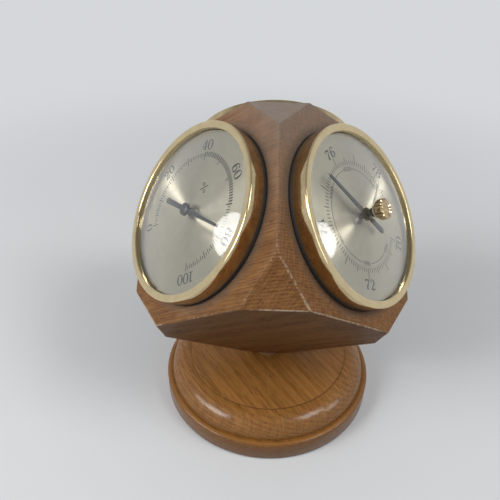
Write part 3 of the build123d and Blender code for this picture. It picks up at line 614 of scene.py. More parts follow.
def metal_material(name, bright, dull, roughness, cloud_scale, cloud_weight=0.35):
    """A metal with cloudy dulling and fine scratches."""
    wiring, surface = start_material(name)
    cloud, rough = worn_metal(wiring, cloud_scale, roughness)
    base = wiring.mix(wiring.math("MULTIPLY", cloud, cloud_weight), bright, dull)
    wiring.fill(surface, {"Base Color": base, "Roughness": rough, "Metallic": 1.0})


def bezel_material(context):
    """Polished brass with cloudy tarnish, whose outer wall is rougher and browned as a painted reflection of the wood
    round it.
    """
    finish = context.scene.weather_finish
    wiring, surface = start_material("bright_brass")
    cloud, rough = worn_metal(wiring, 210.0, 0.045)
    wall = wiring.node("ShaderNodeAttribute", attribute_name="wall").outputs["Fac"]
    # The outer wall is browned as a painted reflection of the wood
    browned_as_reflection = wiring.math("MULTIPLY_ADD", cloud, 0.35, 0.35)
    dulling_and_reflection = wiring.math("MULTIPLY_ADD", wall, browned_as_reflection, wiring.math("MULTIPLY", cloud, 0.30), clamp=True)
    wiring.fill(surface, {"Base Color": wiring.mix(dulling_and_reflection, finish.brass, finish.brass_tarnish),
                          "Roughness": wiring.math("MULTIPLY_ADD", wall, 0.05, rough), "Metallic": 1.0,
                          "Normal": wiring.bump(cloud, wiring.math("MULTIPLY", wall, 0.25), 0.00008)})


def plain_material(name, light, dark, roughness, grain_scale, relief=0.2):
    """A moulded, painted or pressed finish with a fine grain."""
    wiring, surface = start_material(name)
    place = wiring.here()
    fine = wiring.noise(place, grain_scale, 3.0, 0.6)
    broad = wiring.noise(place, grain_scale / 14.0, 3.0, 0.55)
    tone = wiring.math("MULTIPLY_ADD", fine, 0.5, wiring.math("MULTIPLY", broad, 0.5))
    wiring.fill(surface, {"Base Color": wiring.mix(tone, light, dark),
                          "Roughness": wiring.remap(fine, 0.3, 0.7, roughness - 0.06, roughness + 0.08),
                          "Normal": wiring.bump(fine, relief, 0.00004)})


def dial_material(context):
    """Champagne metal brushed along the spokes."""
    finish = context.scene.weather_finish
    wiring, surface = start_material("brushed_dial")
    around = wiring.node("ShaderNodeUVMap", uv_map="rays").outputs[0]
    turn, radius, _ = wiring.split(around)
    bearing = wiring.math("MULTIPLY", turn, math.tau)
    reach = wiring.math("MULTIPLY", radius, 6.0)
    spokes = wiring.combine(wiring.math("COSINE", bearing), wiring.math("SINE", bearing), reach)
    fine = wiring.noise(spokes, 46.0, 4.0, 0.7)
    broad = wiring.noise(spokes, 5.0, 2.0, 0.5)
    tone = wiring.math("MULTIPLY_ADD", fine, 0.7, wiring.math("MULTIPLY_ADD", broad, 0.6, -0.15), clamp=True)
    tangent = wiring.node("ShaderNodeTangent", direction_type="UV_MAP", uv_map="rays").outputs[0]
    wiring.fill(surface, {"Base Color": wiring.mix(tone, finish.dial, finish.dial_shade),
                          "Roughness": wiring.remap(fine, 0.3, 0.7, 0.32, 0.40), "Metallic": 1.0,
                          "Anisotropic": 0.95, "Tangent": tangent})


def lens_material():
    """Clear acrylic with a faint smear, which throws no dark shadow on its dial."""
    wiring, surface = start_material("domed_acrylic")
    smear = wiring.noise(wiring.here(), 90.0, 4.0, 0.6)
    wiring.fill(surface, {"Base Color": (0.985, 0.99, 0.985, 1.0), "IOR": 1.49, "Transmission Weight": 1.0,
                          "Roughness": wiring.remap(smear, 0.45, 0.8, 0.0, 0.035)})
    path = wiring.node("ShaderNodeLightPath")
    clear = wiring.node("ShaderNodeBsdfTransparent", {"Color": (0.95, 0.955, 0.95, 1.0)})
    mirrored = wiring.math("SUBTRACT", path.outputs["Is Glossy Ray"], path.outputs["Is Transmission Ray"], clamp=True)
    below = wiring.math("GREATER_THAN", path.outputs["Transmission Depth"], 1.5)
    # Light that a dial throws back leaves the lens unbent
    thrown_back = wiring.math("MULTIPLY", mirrored, below)
    bounced = wiring.math("MAXIMUM", path.outputs["Is Diffuse Ray"], thrown_back)
    unseen = wiring.math("MAXIMUM", path.outputs["Is Shadow Ray"], bounced)
    wiring.show(wiring.blend(unseen, surface, clear))


def material_named(name):
    """A finish that has been made."""
    material = bpy.data.materials.get(name)
    if material is None:
        raise RuntimeError("the finish " + name + " has not been made")
    return material


def dress(node, name):
    """Gives a carried-over node one of the finishes."""
    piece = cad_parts[node]
    piece.data.materials.clear()
    piece.data.materials.append(material_named(name))


# Numerals drawn as pen strokes of changing width, in a box one unit high

STROKES = {
    "0": [(True, [(0.30, 0.96, 0.035), (0.07, 0.50, 0.085), (0.30, 0.04, 0.035), (0.53, 0.50, 0.085)])],
    "1": [(False, [(0.30, 0.03, 0.075), (0.30, 0.50, 0.075), (0.30, 0.95, 0.075)]),
          (False, [(0.28, 0.94, 0.04), (0.20, 0.86, 0.035), (0.08, 0.80, 0.02)]),
          (False, [(0.10, 0.03, 0.03), (0.30, 0.03, 0.03), (0.50, 0.03, 0.03)])],
    "2": [(False, [(0.12, 0.72, 0.09), (0.14, 0.90, 0.045), (0.32, 0.97, 0.035), (0.50, 0.76, 0.085),
                   (0.36, 0.44, 0.06), (0.08, 0.07, 0.035)]),
          (False, [(0.07, 0.08, 0.05), (0.20, 0.10, 0.075), (0.38, 0.06, 0.075), (0.50, 0.09, 0.05),
                   (0.55, 0.27, 0.025)])],
    "3": [(False, [(0.12, 0.76, 0.085), (0.16, 0.92, 0.045), (0.32, 0.97, 0.035), (0.48, 0.77, 0.075),
                   (0.26, 0.54, 0.03)]),
          (False, [(0.26, 0.54, 0.03), (0.53, 0.29, 0.085), (0.30, 0.03, 0.035), (0.13, 0.08, 0.045),
                   (0.10, 0.23, 0.085)])],
    "4": [(False, [(0.40, 0.97, 0.03), (0.22, 0.64, 0.03), (0.03, 0.29, 0.03)]),
          (False, [(0.02, 0.27, 0.032), (0.30, 0.27, 0.032), (0.58, 0.27, 0.032)]),
          (False, [(0.42, 0.03, 0.075), (0.42, 0.50, 0.075), (0.42, 0.95, 0.075)]),
          (False, [(0.24, 0.03, 0.03), (0.42, 0.03, 0.03), (0.60, 0.03, 0.03)])],
    "5": [(False, [(0.12, 0.92, 0.06), (0.32, 0.90, 0.065), (0.52, 0.95, 0.045)]),
          (False, [(0.12, 0.93, 0.03), (0.11, 0.72, 0.03), (0.10, 0.52, 0.03)]),
          (False, [(0.10, 0.53, 0.03), (0.30, 0.61, 0.04), (0.53, 0.33, 0.085), (0.30, 0.03, 0.035),
                   (0.13, 0.08, 0.045), (0.10, 0.22, 0.085)])],
    "6": [(True, [(0.30, 0.58, 0.035), (0.08, 0.30, 0.085), (0.30, 0.04, 0.035), (0.52, 0.30, 0.085)]),
          (False, [(0.08, 0.32, 0.085), (0.12, 0.68, 0.07), (0.34, 0.97, 0.035), (0.48, 0.90, 0.045),
                   (0.49, 0.78, 0.08)])],
    "7": [(False, [(0.07, 0.90, 0.06), (0.22, 0.93, 0.075), (0.40, 0.89, 0.065), (0.55, 0.94, 0.04)]),
          (False, [(0.06, 0.95, 0.03), (0.06, 0.84, 0.03), (0.05, 0.70, 0.02)]),
          (False, [(0.54, 0.93, 0.03), (0.38, 0.58, 0.05), (0.27, 0.28, 0.085), (0.26, 0.04, 0.095)])],
    "8": [(True, [(0.30, 0.97, 0.035), (0.11, 0.77, 0.075), (0.30, 0.56, 0.035), (0.49, 0.77, 0.075)]),
          (True, [(0.30, 0.54, 0.035), (0.07, 0.28, 0.085), (0.30, 0.03, 0.035), (0.53, 0.28, 0.085)])],
    "9": [(True, [(0.30, 0.96, 0.035), (0.08, 0.70, 0.085), (0.30, 0.42, 0.035), (0.52, 0.70, 0.085)]),
          (False, [(0.52, 0.68, 0.085), (0.48, 0.32, 0.07), (0.26, 0.03, 0.035), (0.12, 0.10, 0.045),
                   (0.11, 0.22, 0.08)])],
    "-": [(False, [(0.10, 0.48, 0.045), (0.30, 0.48, 0.045), (0.50, 0.48, 0.045)])],
    "%": [(True, [(0.14, 0.94, 0.040), (0.01, 0.78, 0.045), (0.14, 0.62, 0.040), (0.27, 0.78, 0.045)]),
          (True, [(0.64, 0.38, 0.040), (0.51, 0.22, 0.045), (0.64, 0.06, 0.040), (0.77, 0.22, 0.045)]),
          (False, [(0.70, 0.97, 0.055), (0.39, 0.50, 0.055), (0.08, 0.03, 0.055)])],
    "o": [(True, [(0.16, 0.98, 0.04), (0.03, 0.84, 0.045), (0.16, 0.70, 0.04), (0.29, 0.84, 0.045)])],
    "C": [(False, [(0.62, 0.74, 0.05), (0.50, 0.94, 0.04), (0.34, 0.97, 0.035), (0.08, 0.50, 0.085),
                   (0.34, 0.03, 0.035), (0.52, 0.07, 0.035), (0.63, 0.24, 0.03)])],
}
STROKE_WIDTHS = {"%": 0.84, "o": 0.40, "C": 0.72, "1": 0.54, "-": 0.60}
PLAIN_WIDTH = 0.66
LEFT_MARGIN = 0.03
NUMERAL_STRETCH = 1.22


def numeral_mesh(text):
    """One line of pen strokes as a mesh, centred on the origin, one unit high and one unit thick."""
    curve = bpy.data.curves.new("strokes", "CURVE")
    curve.dimensions = "3D"
    curve.bevel_depth = 1.0
    curve.bevel_resolution = 1
    curve.resolution_u = 5
    curve.use_fill_caps = True
    widths = [STROKE_WIDTHS.get(sign, PLAIN_WIDTH) for sign in text]
    pen = -sum(widths) / 2
    for sign, width in zip(text, widths):
        for closed, points in STROKES[sign]:
            spline = curve.splines.new("BEZIER")
            spline.bezier_points.add(len(points) - 1)
            spline.use_cyclic_u = closed
            for knot, (x, y, radius) in zip(spline.bezier_points, points):
                knot.co = (pen + x + LEFT_MARGIN, y - 0.5, 0.0)
                knot.radius = radius
                knot.handle_left_type = knot.handle_right_type = "AUTO"
        pen += width
    holder = bpy.data.objects.new("strokes", curve)
    bpy.context.scene.collection.objects.link(holder)
    depsgraph = bpy.context.evaluated_depsgraph_get()
    mesh = bpy.data.meshes.new_from_object(holder.evaluated_get(depsgraph))
    bpy.data.objects.remove(holder)
    bpy.data.curves.remove(curve)
    deepest = max(vert.co.z for vert in mesh.vertices)
    mesh.transform(Matrix.Diagonal((1.0, 1.0, 0.5 / deepest, 1.0)))
    bm = bmesh.new()
    bm.from_mesh(mesh)
    bmesh.ops.remove_doubles(bm, verts=bm.verts[:], dist=1e-5)
    bm.to_mesh(mesh)
    bm.free()
    return mesh


def on_dial(clockwise, radius, spin=0.0):
    """A place on a dial at an angle clockwise from its top, turned with it."""
    turn = Matrix.Rotation(-clockwise, 4, "Z")
    return turn @ Matrix.Translation((0.0, radius, 0.0)) @ Matrix.Rotation(spin, 4, "Z")


def print_text(bm, text, height, place, ink):
    """Numerals or a unit sign at a place on the dial."""
    mesh = numeral_mesh(text)
    mesh.transform(place @ Matrix.Diagonal((height * NUMERAL_STRETCH, height, ink, 1.0)))
    bm.from_mesh(mesh)
    bpy.data.meshes.remove(mesh)


def print_tick(bm, clockwise, inner, outer, width, ink):
    """A stroke between two radii."""
    size = Matrix.Diagonal((width, outer - inner, ink, 1.0))
    bmesh.ops.create_cube(bm, size=1.0, matrix=on_dial(clockwise, (inner + outer) / 2) @ size)


def print_arc(bm, radius, width, start, end, ink):
    """A thin line round the dial from one angle to another."""
    steps = max(1, round(math.degrees(end - start) / 3.0))
    turn = (end - start) / steps
    for number in range(steps):
        print_tick(bm, start + turn * (number + 0.5), radius - width / 2, radius + width / 2, radius * turn, ink)


def print_hygrometer(bm, ink):
    """Per cent from 0 to 100, with a bold band from 40 to 70."""
    step = math.radians(2.7)
    long_foot, even_foot, odd_foot = 0.0202, 0.0209, 0.0215
    tip, long_tip, numerals, sign = 0.0228, 0.0234, 0.0262, 0.0104
    for number in range(0, 101):
        place = (number - 50) * step
        if number % 10 == 0:
            print_tick(bm, place, long_foot, long_tip, 0.00034, ink)
        elif not 40 < number < 70:
            print_tick(bm, place, even_foot if number % 2 == 0 else odd_foot, tip, 0.00030, ink)
    for number in range(40, 71):
        print_tick(bm, (number - 50) * step, odd_foot, long_tip, 0.00050, ink)
    for number in range(0, 101, 20):
        print_text(bm, str(number), 0.0041, on_dial((number - 50) * step, numerals), ink)
    print_text(bm, "%", 0.0036, on_dial(0.0, sign), ink)


def print_barometer(bm, ink):
    """Centimetres of mercury, with hectopascals on a broken ring inside."""
    step = math.radians(36.0)
    hectopascals = 13.332
    foot, whole_tip, half_tip, tenth_tip = 0.0197, 0.0240, 0.0225, 0.0214
    numerals, inner_ring, gap = 0.0259, 0.0181, math.radians(8.0)
    for number in range(0, 91):
        tip = whole_tip if number % 10 == 0 else half_tip if number % 5 == 0 else tenth_tip
        print_tick(bm, (number / 10 - 6) * step, foot, tip, 0.00030 if number % 5 == 0 else 0.00024, ink)
    for reading in range(70, 79, 2):
        # The two lowest numerals stand upright at the foot of the dial
        turn = math.pi if reading < 74 else 0.0
        print_text(bm, str(reading), 0.0040, on_dial((reading - 76) * step, numerals, turn), ink)
    labels = [((reading / hectopascals - 76) * step, str(reading)) for reading in range(940, 1041, 20)]
    for place, text in labels:
        print_text(bm, text, 0.0017, on_dial(place, inner_ring), ink)
    for (place, _), (following, _) in zip(labels, labels[1:]):
        print_arc(bm, inner_ring, 0.00020, place + gap, following - gap, ink)


def print_thermometer(bm, ink):
    """Degrees from -30 to 50."""
    step = math.radians(3.375)
    foot, ten_tip, five_tip, one_tip = 0.0199, 0.0228, 0.0222, 0.0216
    numerals, sign = 0.0262, 0.0103
    for number in range(-30, 51):
        tip = ten_tip if number % 10 == 0 else five_tip if number % 5 == 0 else one_tip
        print_tick(bm, (number - 10) * step, foot, tip, 0.00032 if number % 10 == 0 else 0.00024, ink)
    for number in range(-30, 51, 10):
        print_text(bm, str(number), 0.0037, on_dial((number - 10) * step, numerals), ink)
    print_text(bm, "oC", 0.0031, on_dial(0.0, sign), ink)


PRINTING = {"hygrometer": print_hygrometer, "barometer": print_barometer, "thermometer": print_thermometer}


# One operator for each piece or group of like pieces

class WEATHER_OT_finishes(bpy.types.Operator):
    """Make the finishes that the pieces share"""
    bl_idname = "weather.finishes"
    bl_label = "Finishes"

    def execute(self, context):
        finish = context.scene.weather_finish
        oak_material(context)
        foot_material(context)
        dial_material(context)
        lens_material()
        bezel_material(context)
        metal_material("knob_brass", (0.64, 0.50, 0.30), (0.34, 0.24, 0.13), 0.13, 900.0, 0.6)
        metal_material("pale_gilt", (0.66, 0.63, 0.52), (0.48, 0.45, 0.36), 0.38, 260.0)
        metal_material("plain_brass", (0.70, 0.52, 0.22), (0.42, 0.29, 0.11), 0.28, 320.0, 0.5)
        metal_material("satin_gilt", (0.74, 0.62, 0.34), (0.55, 0.44, 0.22), 0.32, 260.0)
        metal_material("plain_steel", (0.56, 0.56, 0.57), (0.36, 0.36, 0.38), 0.30, 340.0)
        metal_material("nickel_sheet", (0.68, 0.66, 0.60), (0.50, 0.48, 0.43), 0.26, 300.0)
        metal_material("plated_case", (0.42, 0.42, 0.43), (0.28, 0.28, 0.29), 0.38, 260.0)
        plain_material("ring_rubber", finish.rubber, (0.05, 0.048, 0.046), 0.62, 1400.0, 0.25)
        plain_material("black_paint", finish.hand, (0.036, 0.040, 0.050), 0.36, 2600.0, 0.10)
        plain_material("dial_ink", finish.ink, (0.05, 0.05, 0.052), 0.55, 2400.0, 0.05)
        plain_material("brown_nylon", (0.30, 0.17, 0.085), (0.20, 0.10, 0.045), 0.5, 900.0)
        plain_material("pressed_felt", (0.035, 0.105, 0.055), (0.018, 0.060, 0.030), 0.92, 2600.0, 0.8)
        return {"FINISHED"}


class WEATHER_OT_head_block(bpy.types.Operator):
    """Cut the oak block from a cube on its corner and bore it for the three instruments"""
    bl_idname = "weather.head_block"
    bl_label = "Oak block"

    def corners(self, sizes):
        """Each corner's direction from the middle, with its cut."""
        climb = math.asin(1 / 3)
        yield Vector((0.0, 0.0, 1.0)), sizes.corner_cut
        yield Vector((0.0, 0.0, -1.0)), sizes.foot_corner_cut
        for number in range(6):
            turn = math.radians(60 * number)
            rise = climb if number % 2 == 0 else -climb
            level = math.cos(rise)
            yield Vector((math.sin(turn) * level, -math.cos(turn) * level, math.sin(rise))), sizes.corner_cut

    def bore(self, bm, face, matrix, radius, depth):
        """Opens a round hole with a floor in a flat face and gives back the floor."""
        rim = list(face.edges)
        bmesh.ops.delete(bm, geom=[face], context="FACES_ONLY")
        circle = bmesh.ops.create_circle(bm, segments=96, radius=radius, matrix=matrix)["verts"]
        mouth = list({edge for vert in circle for edge in vert.link_edges})
        bmesh.ops.bridge_loops(bm, edges=rim + mouth)
        wall = bmesh.ops.extrude_edge_only(bm, edges=mouth)["geom"]
        low = [item for item in wall if isinstance(item, bmesh.types.BMVert)]
        bmesh.ops.translate(bm, verts=low, vec=matrix.to_3x3() @ Vector((0.0, 0.0, -depth)))
        ends = [item for item in wall
                if isinstance(item, bmesh.types.BMEdge) and all(vert in low for vert in item.verts)]
        return bmesh.ops.contextual_create(bm, geom=ends)["faces"][0]

    def execute(self, context):
        sizes = context.scene.weather_block
        bm = bmesh.new()
        bmesh.ops.create_cube(bm, size=sizes.cube_edge)
        stance = Matrix([outward(azimuth) for azimuth in INSTRUMENTS.values()]).transposed().to_4x4()
        move(bm, stance)
        half_diagonal = sizes.cube_edge * math.sqrt(3) / 2
        for direction, cut in self.corners(sizes):
            everything = bm.verts[:] + bm.edges[:] + bm.faces[:]
            plane = direction * (half_diagonal - cut / math.sqrt(3))
            result = bmesh.ops.bisect_plane(bm, geom=everything, plane_co=plane, plane_no=direction, clear_outer=True)
            loop = [item for item in result["geom_cut"] if isinstance(item, bmesh.types.BMEdge)]
            bmesh.ops.contextual_create(bm, geom=loop)
        bmesh.ops.recalc_face_normals(bm, faces=bm.faces[:])
        round_off(bm, bm.edges[:], sizes.edge_bevel, 2)
        flats = [face for face in bm.faces if face.calc_area() > 1e-4]
        bmesh.ops.inset_individual(bm, faces=flats, thickness=sizes.wear_band, use_even_offset=True)
        edge = bm.verts.layers.float.new("edge")
        inner = {vert for face in flats for vert in face.verts}
        for vert in bm.verts:
            vert[edge] = 0.0 if vert in inner else 1.0
        move(bm, Matrix.Translation((0.0, 0.0, sizes.centre_height)))
        for name, azimuth in INSTRUMENTS.items():
            normal = outward(azimuth)
            face = max(flats, key=lambda item: item.normal.dot(normal) if item.is_valid else -1.0)
            matrix = face_matrix(azimuth, sizes)
            floor = self.bore(bm, face, matrix, sizes.bore_radius, sizes.bore_depth)
            if name == "barometer":
                lower = matrix @ Matrix.Translation((0.0, 0.0, -sizes.bore_depth))
                self.bore(bm, floor, lower, sizes.deep_bore_radius, sizes.deep_bore_depth - sizes.bore_depth)
            flats = [item for item in flats if item.is_valid]
        finish_piece("oak_block", bm, "head", "stained_oak", "head_block", sharp=20.0)
        return {"FINISHED"}


class WEATHER_OT_foot(bpy.types.Operator):
    """Turn the foot and dress the felt and the swivel's pieces"""
    bl_idname = "weather.foot"
    bl_label = "Turned foot"

    def execute(self, context):
        sizes = context.scene.weather_block
        bm = bmesh.new()
        ledge = sizes.foot_radius - sizes.ledge_width
        floor_edge = ledge - sizes.round_width
        crest = sizes.rim_height + sizes.round_height
        floor = crest + sizes.floor_step
        stretch = sizes.round_height / sizes.round_width
        sweep = arc((ledge, sizes.rim_height), (floor_edge, sizes.rim_height), -90.0, 20, stretch)
        outline = [(sizes.pivot_bore, floor), (sizes.pivot_bore, sizes.pocket_height),
                   (sizes.pocket_radius, sizes.pocket_height),
                   (sizes.pocket_radius, sizes.felt_height), (sizes.felt_radius, sizes.felt_height),
                   (sizes.felt_radius, sizes.foot_underside), (sizes.foot_radius, sizes.foot_underside),
                   (sizes.foot_radius, sizes.rim_height)]
        outline += sweep + [(floor_edge, floor)]
        lathe(bm, outline, 192)
        round_off(bm, ring_edges(bm, sizes.foot_radius, sizes.rim_height), sizes.rim_round, 4)
        round_off(bm, ring_edges(bm, sizes.foot_radius, sizes.foot_underside), 0.0005, 2)
        round_off(bm, ring_edges(bm, floor_edge, floor), 0.00035, 2)
        finish_piece("turned_foot", bm, "foot", "golden_lacquer", "foot", sharp=30.0)
        dress("felt_pad", "pressed_felt")
        dress("swivel_washer", "brown_nylon")
        dress("pivot_bush", "plain_brass")
        dress("spring_washer", "plain_steel")
        return {"FINISHED"}


class WEATHER_OT_bezels(bpy.types.Operator):
    """Turn the brass bezels and the black rings under them"""
    bl_idname = "weather.bezels"
    bl_label = "Bezels and gaskets"

    def execute(self, context):
        sizes = context.scene.weather_dial
        for name, azimuth in INSTRUMENTS.items():
            place = face_matrix(azimuth, context.scene.weather_block)
            outer, inner = sizes.bezel_radius, sizes.bezel_radius - sizes.bezel_wall
            opening = sizes.bezel_radius - sizes.rim_width
            under = sizes.bezel_height - sizes.rim_depth
            bm = bmesh.new()
            base = sizes.gasket_thickness + sizes.gasket_swell
            crest = outer - sizes.rim_width * 0.45
            shoulder, lip = sizes.bezel_height - 0.00015, sizes.bezel_height - 0.00020
            lathe(bm, [(inner, base), (outer, base), (outer, shoulder), (crest, sizes.bezel_height),
                       (opening, lip), (opening, under), (inner, under)], 192)
            round_off(bm, ring_edges(bm, outer, shoulder), sizes.edge_round, 6)
            round_off(bm, ring_edges(bm, crest, sizes.bezel_height), 0.0004, 3)
            round_off(bm, ring_edges(bm, opening, lip), sizes.lip_round, 3)
            round_off(bm, ring_edges(bm, outer, base), 0.00012, 2)
            wall = bm.verts.layers.float.new("wall")
            for vert in bm.verts:
                outside = math.hypot(vert.co.x, vert.co.y) > outer - 1e-5
                vert[wall] = 1.0 if outside and vert.co.z < sizes.bezel_height - sizes.edge_round else 0.0
            move(bm, place)
            finish_piece(name + "_brass_bezel", bm, "head", "bright_brass", name + "_bezel",
                         sharp=40.0)
            bm = bmesh.new()
            edge = outer - sizes.gasket_inset
            seat = inner + 0.00002
            lathe(bm, [(sizes.gasket_inner, 0.0), (edge, 0.0), (edge, base), (seat, base),
                       (seat, sizes.gasket_thickness), (sizes.gasket_inner, sizes.gasket_thickness)], 160)
            round_off(bm, ring_edges(bm, edge, 0.0), 0.0003, 3)
            move(bm, place)
            finish_piece(name + "_black_ring", bm, "head", "ring_rubber", name + "_gasket")
            dress(name + "_spacer_ring", "pale_gilt")
        return {"FINISHED"}


class WEATHER_OT_dials(bpy.types.Operator):
    """Make the brushed dial plates and print their scales"""
    bl_idname = "weather.dials"
    bl_label = "Dials and scales"

    def unwrap_rays(self, bm):
        """Lays the dial out by bearing and radius, so that brushing can follow the spokes."""
        layer = bm.loops.layers.uv.new("rays")
        unit = 0.1
        for face in bm.faces:
            bearings = [math.atan2(loop.vert.co.y, loop.vert.co.x) / math.tau for loop in face.loops]
            wraps = max(bearings) - min(bearings) > 0.5
            for loop, bearing in zip(face.loops, bearings):
                turn = bearing + 1.0 if wraps and bearing < 0.0 else bearing
                loop[layer].uv = (turn, math.hypot(loop.vert.co.x, loop.vert.co.y) / unit)

    def execute(self, context):
        sizes = context.scene.weather_dial
        for name, azimuth in INSTRUMENTS.items():
            place = face_matrix(azimuth, context.scene.weather_block)
            bm = bmesh.new()
            hole, edge = sizes.dial_hole, sizes.dial_radius
            low, high = sizes.dial_underside, sizes.dial_top
            shares = (0.1, 0.3, 0.6)
            face_rings = [(hole + (edge - hole) * share, high) for share in shares]
            lathe(bm, [(edge, high), (edge, low), (hole, low), (hole, high)] + face_rings, 192)
            bmesh.ops.recalc_face_normals(bm, faces=bm.faces[:])
            self.unwrap_rays(bm)
            move(bm, place)
            finish_piece(name + "_brushed_dial", bm, "head", "brushed_dial", name + "_dial")
            bm = bmesh.new()
            PRINTING[name](bm, sizes.ink_height)
            move(bm, place @ Matrix.Translation((0.0, 0.0, sizes.dial_top + sizes.ink_height / 2)))
            finish_piece(name + "_scale", bm, "head", "dial_ink")
        return {"FINISHED"}


class WEATHER_OT_pointers(bpy.types.Operator):
    """Make the three painted pointers"""
    bl_idname = "weather.pointers"
    bl_label = "Pointers"

    def execute(self, context):
        sizes = context.scene.weather_hand
        dials = context.scene.weather_dial
        radius = dials.bezel_radius - dials.rim_width - dials.lens_gap
        # Reach and tail as shares of the lens's radius, width of the tip, and angle at rest
        forms = {
            "hygrometer": (0.703, 0.4375, 0.0010, sizes.hygrometer_rest),
            "thermometer": (0.703, 0.4375, 0.0010, sizes.thermometer_rest),
            "barometer": (0.719, 0.36, 0.0012, sizes.barometer_rest),
        }
        for name, (reach, tail, tip_width, rest) in forms.items():
            place = face_matrix(INSTRUMENTS[name], context.scene.weather_block) @ Matrix.Rotation(-rest, 4, "Z")
            bm = bmesh.new()
            half, tip = sizes.width / 2, tip_width / 2
            heel = half + sizes.tail_swell
            back, front = -tail * radius, reach * radius
            corners = [(heel, back), (half, 0.0), (tip, front), (-tip, front), (-half, 0.0), (-heel, back)]
            blade(bm, [(x, y, sizes.height) for x, y in corners], sizes.thickness)
            bmesh.ops.recalc_face_normals(bm, faces=bm.faces[:])
            upright = [edge for edge in bm.edges if abs(edge.verts[0].co.z - edge.verts[1].co.z) > 1e-6]
            tails = [edge for edge in upright if edge.verts[0].co.y < -1e-6]
            tips = [edge for edge in upright if edge.verts[0].co.y > 1e-6]
            round_off(bm, tails, heel * 0.9, 6)
            round_off(bm, tips, tip * 0.98, 5)
            upper = sizes.height + sizes.thickness
            brim = [edge for edge in bm.edges if all(abs(vert.co.z - upper) < 1e-7 for vert in edge.verts)
                    and edge.is_manifold and edge.calc_face_angle() > 0.5]
            round_off(bm, brim, 0.00012, 2)
            hub = bmesh.new()
            top = sizes.height + sizes.hub_height
            crown = top + sizes.crown_height
            lathe(hub, [(0.0, top), (sizes.arbor_hole, top), (sizes.arbor_hole, sizes.collet_low),
                        (sizes.collet_radius, sizes.collet_low), (sizes.collet_radius, sizes.height),
                        (sizes.hub_radius, sizes.height), (sizes.hub_radius, top),
                        (sizes.crown_radius, crown), (0.0, crown)], 64, closed=False)
            round_off(hub, ring_edges(hub, sizes.hub_radius, top), 0.00025, 3)
            round_off(hub, ring_edges(hub, sizes.crown_radius, crown), 0.00035, 3)
            append_mesh(bm, hub)
            move(bm, place)
            finish_piece(name + "_black_hand", bm, name + "_hand", "black_paint", name + "_pointer")
        return {"FINISHED"}


class WEATHER_OT_set_hand(bpy.types.Operator):
    """Make the brass set hand and the fluted knob that turns it"""
    bl_idname = "weather.set_hand"
    bl_label = "Set hand and knob"

    def execute(self, context):
        sizes = context.scene.weather_hand
        place = face_matrix(INSTRUMENTS["barometer"], context.scene.weather_block)
        bm = bmesh.new()
        stem, neck, rim = sizes.set_stem_radius, sizes.knob_neck_radius, sizes.knob_radius
        shoulder = sizes.knob_top - sizes.crown_round
        crown = arc((rim, shoulder), (rim - sizes.crown_round, shoulder), -90.0, 6)
        base, top = sizes.knob_base, sizes.knob_top
        outline = [(0.0, sizes.set_hub_low), (stem, sizes.set_hub_low), (stem, base), (neck, base),
                   (neck + 0.0004, base + 0.0004), (rim - 0.0003, sizes.knob_neck), (rim, sizes.knob_neck + 0.0004)]
        outline += crown + [(rim * 0.58, top - 0.0005), (rim * 0.30, top - 0.0003), (0.0, top)]
        lathe(bm, outline, sizes.knob_flutes * 8, closed=False)
        flute_depth = 0.13
        for vert in bm.verts:
            radius = math.hypot(vert.co.x, vert.co.y)
            share = max(0.0, (radius - rim * 0.35) / (rim * 0.65))
            if vert.co.z > base + 0.0002:
                wave = math.sin(sizes.knob_flutes / 2 * math.atan2(vert.co.y, vert.co.x))
                inward = 1.0 - flute_depth * abs(wave) * share
                bmesh.ops.scale(bm, verts=[vert], vec=(inward, inward, 1.0))
        move(bm, place)
        finish_piece("fluted_knob", bm, "barometer_set_hand", "knob_brass", "barometer_set_knob",
                     sharp=24.0)
        bm = bmesh.new()
        middle = (sizes.set_hub_low + sizes.set_hub_top) / 2
        root, tip = 0.00075, 0.0003
        reach, low = sizes.set_reach, middle - sizes.set_drop
        corners = [(root, 0.0, middle), (tip, reach, low), (-tip, reach, low), (-root, 0.0, middle)]
        blade(bm, corners, -sizes.set_thickness)
        round_off(bm, bm.edges[:], 0.00006, 2)
        hub = bmesh.new()
        hole = sizes.set_stem_radius + 0.00002
        wide, under, over = sizes.set_hub_radius, sizes.set_hub_low, sizes.set_hub_top
        lathe(hub, [(hole, under), (wide, under), (wide, over), (hole, over)], 48)
        round_off(hub, ring_edges(hub, wide, under), 0.00015, 2)
        for face in hub.faces:
            face.material_index = 1
        append_mesh(bm, hub)
        move(bm, place @ Matrix.Rotation(-sizes.set_hand_rest, 4, "Z"))
        piece = finish_piece("gilt_set_hand", bm, "barometer_set_hand", "pale_gilt", "barometer_set_hand")
        piece.data.materials.append(material_named("black_paint"))
        dress("barometer_lens_bush", "pale_gilt")
        return {"FINISHED"}


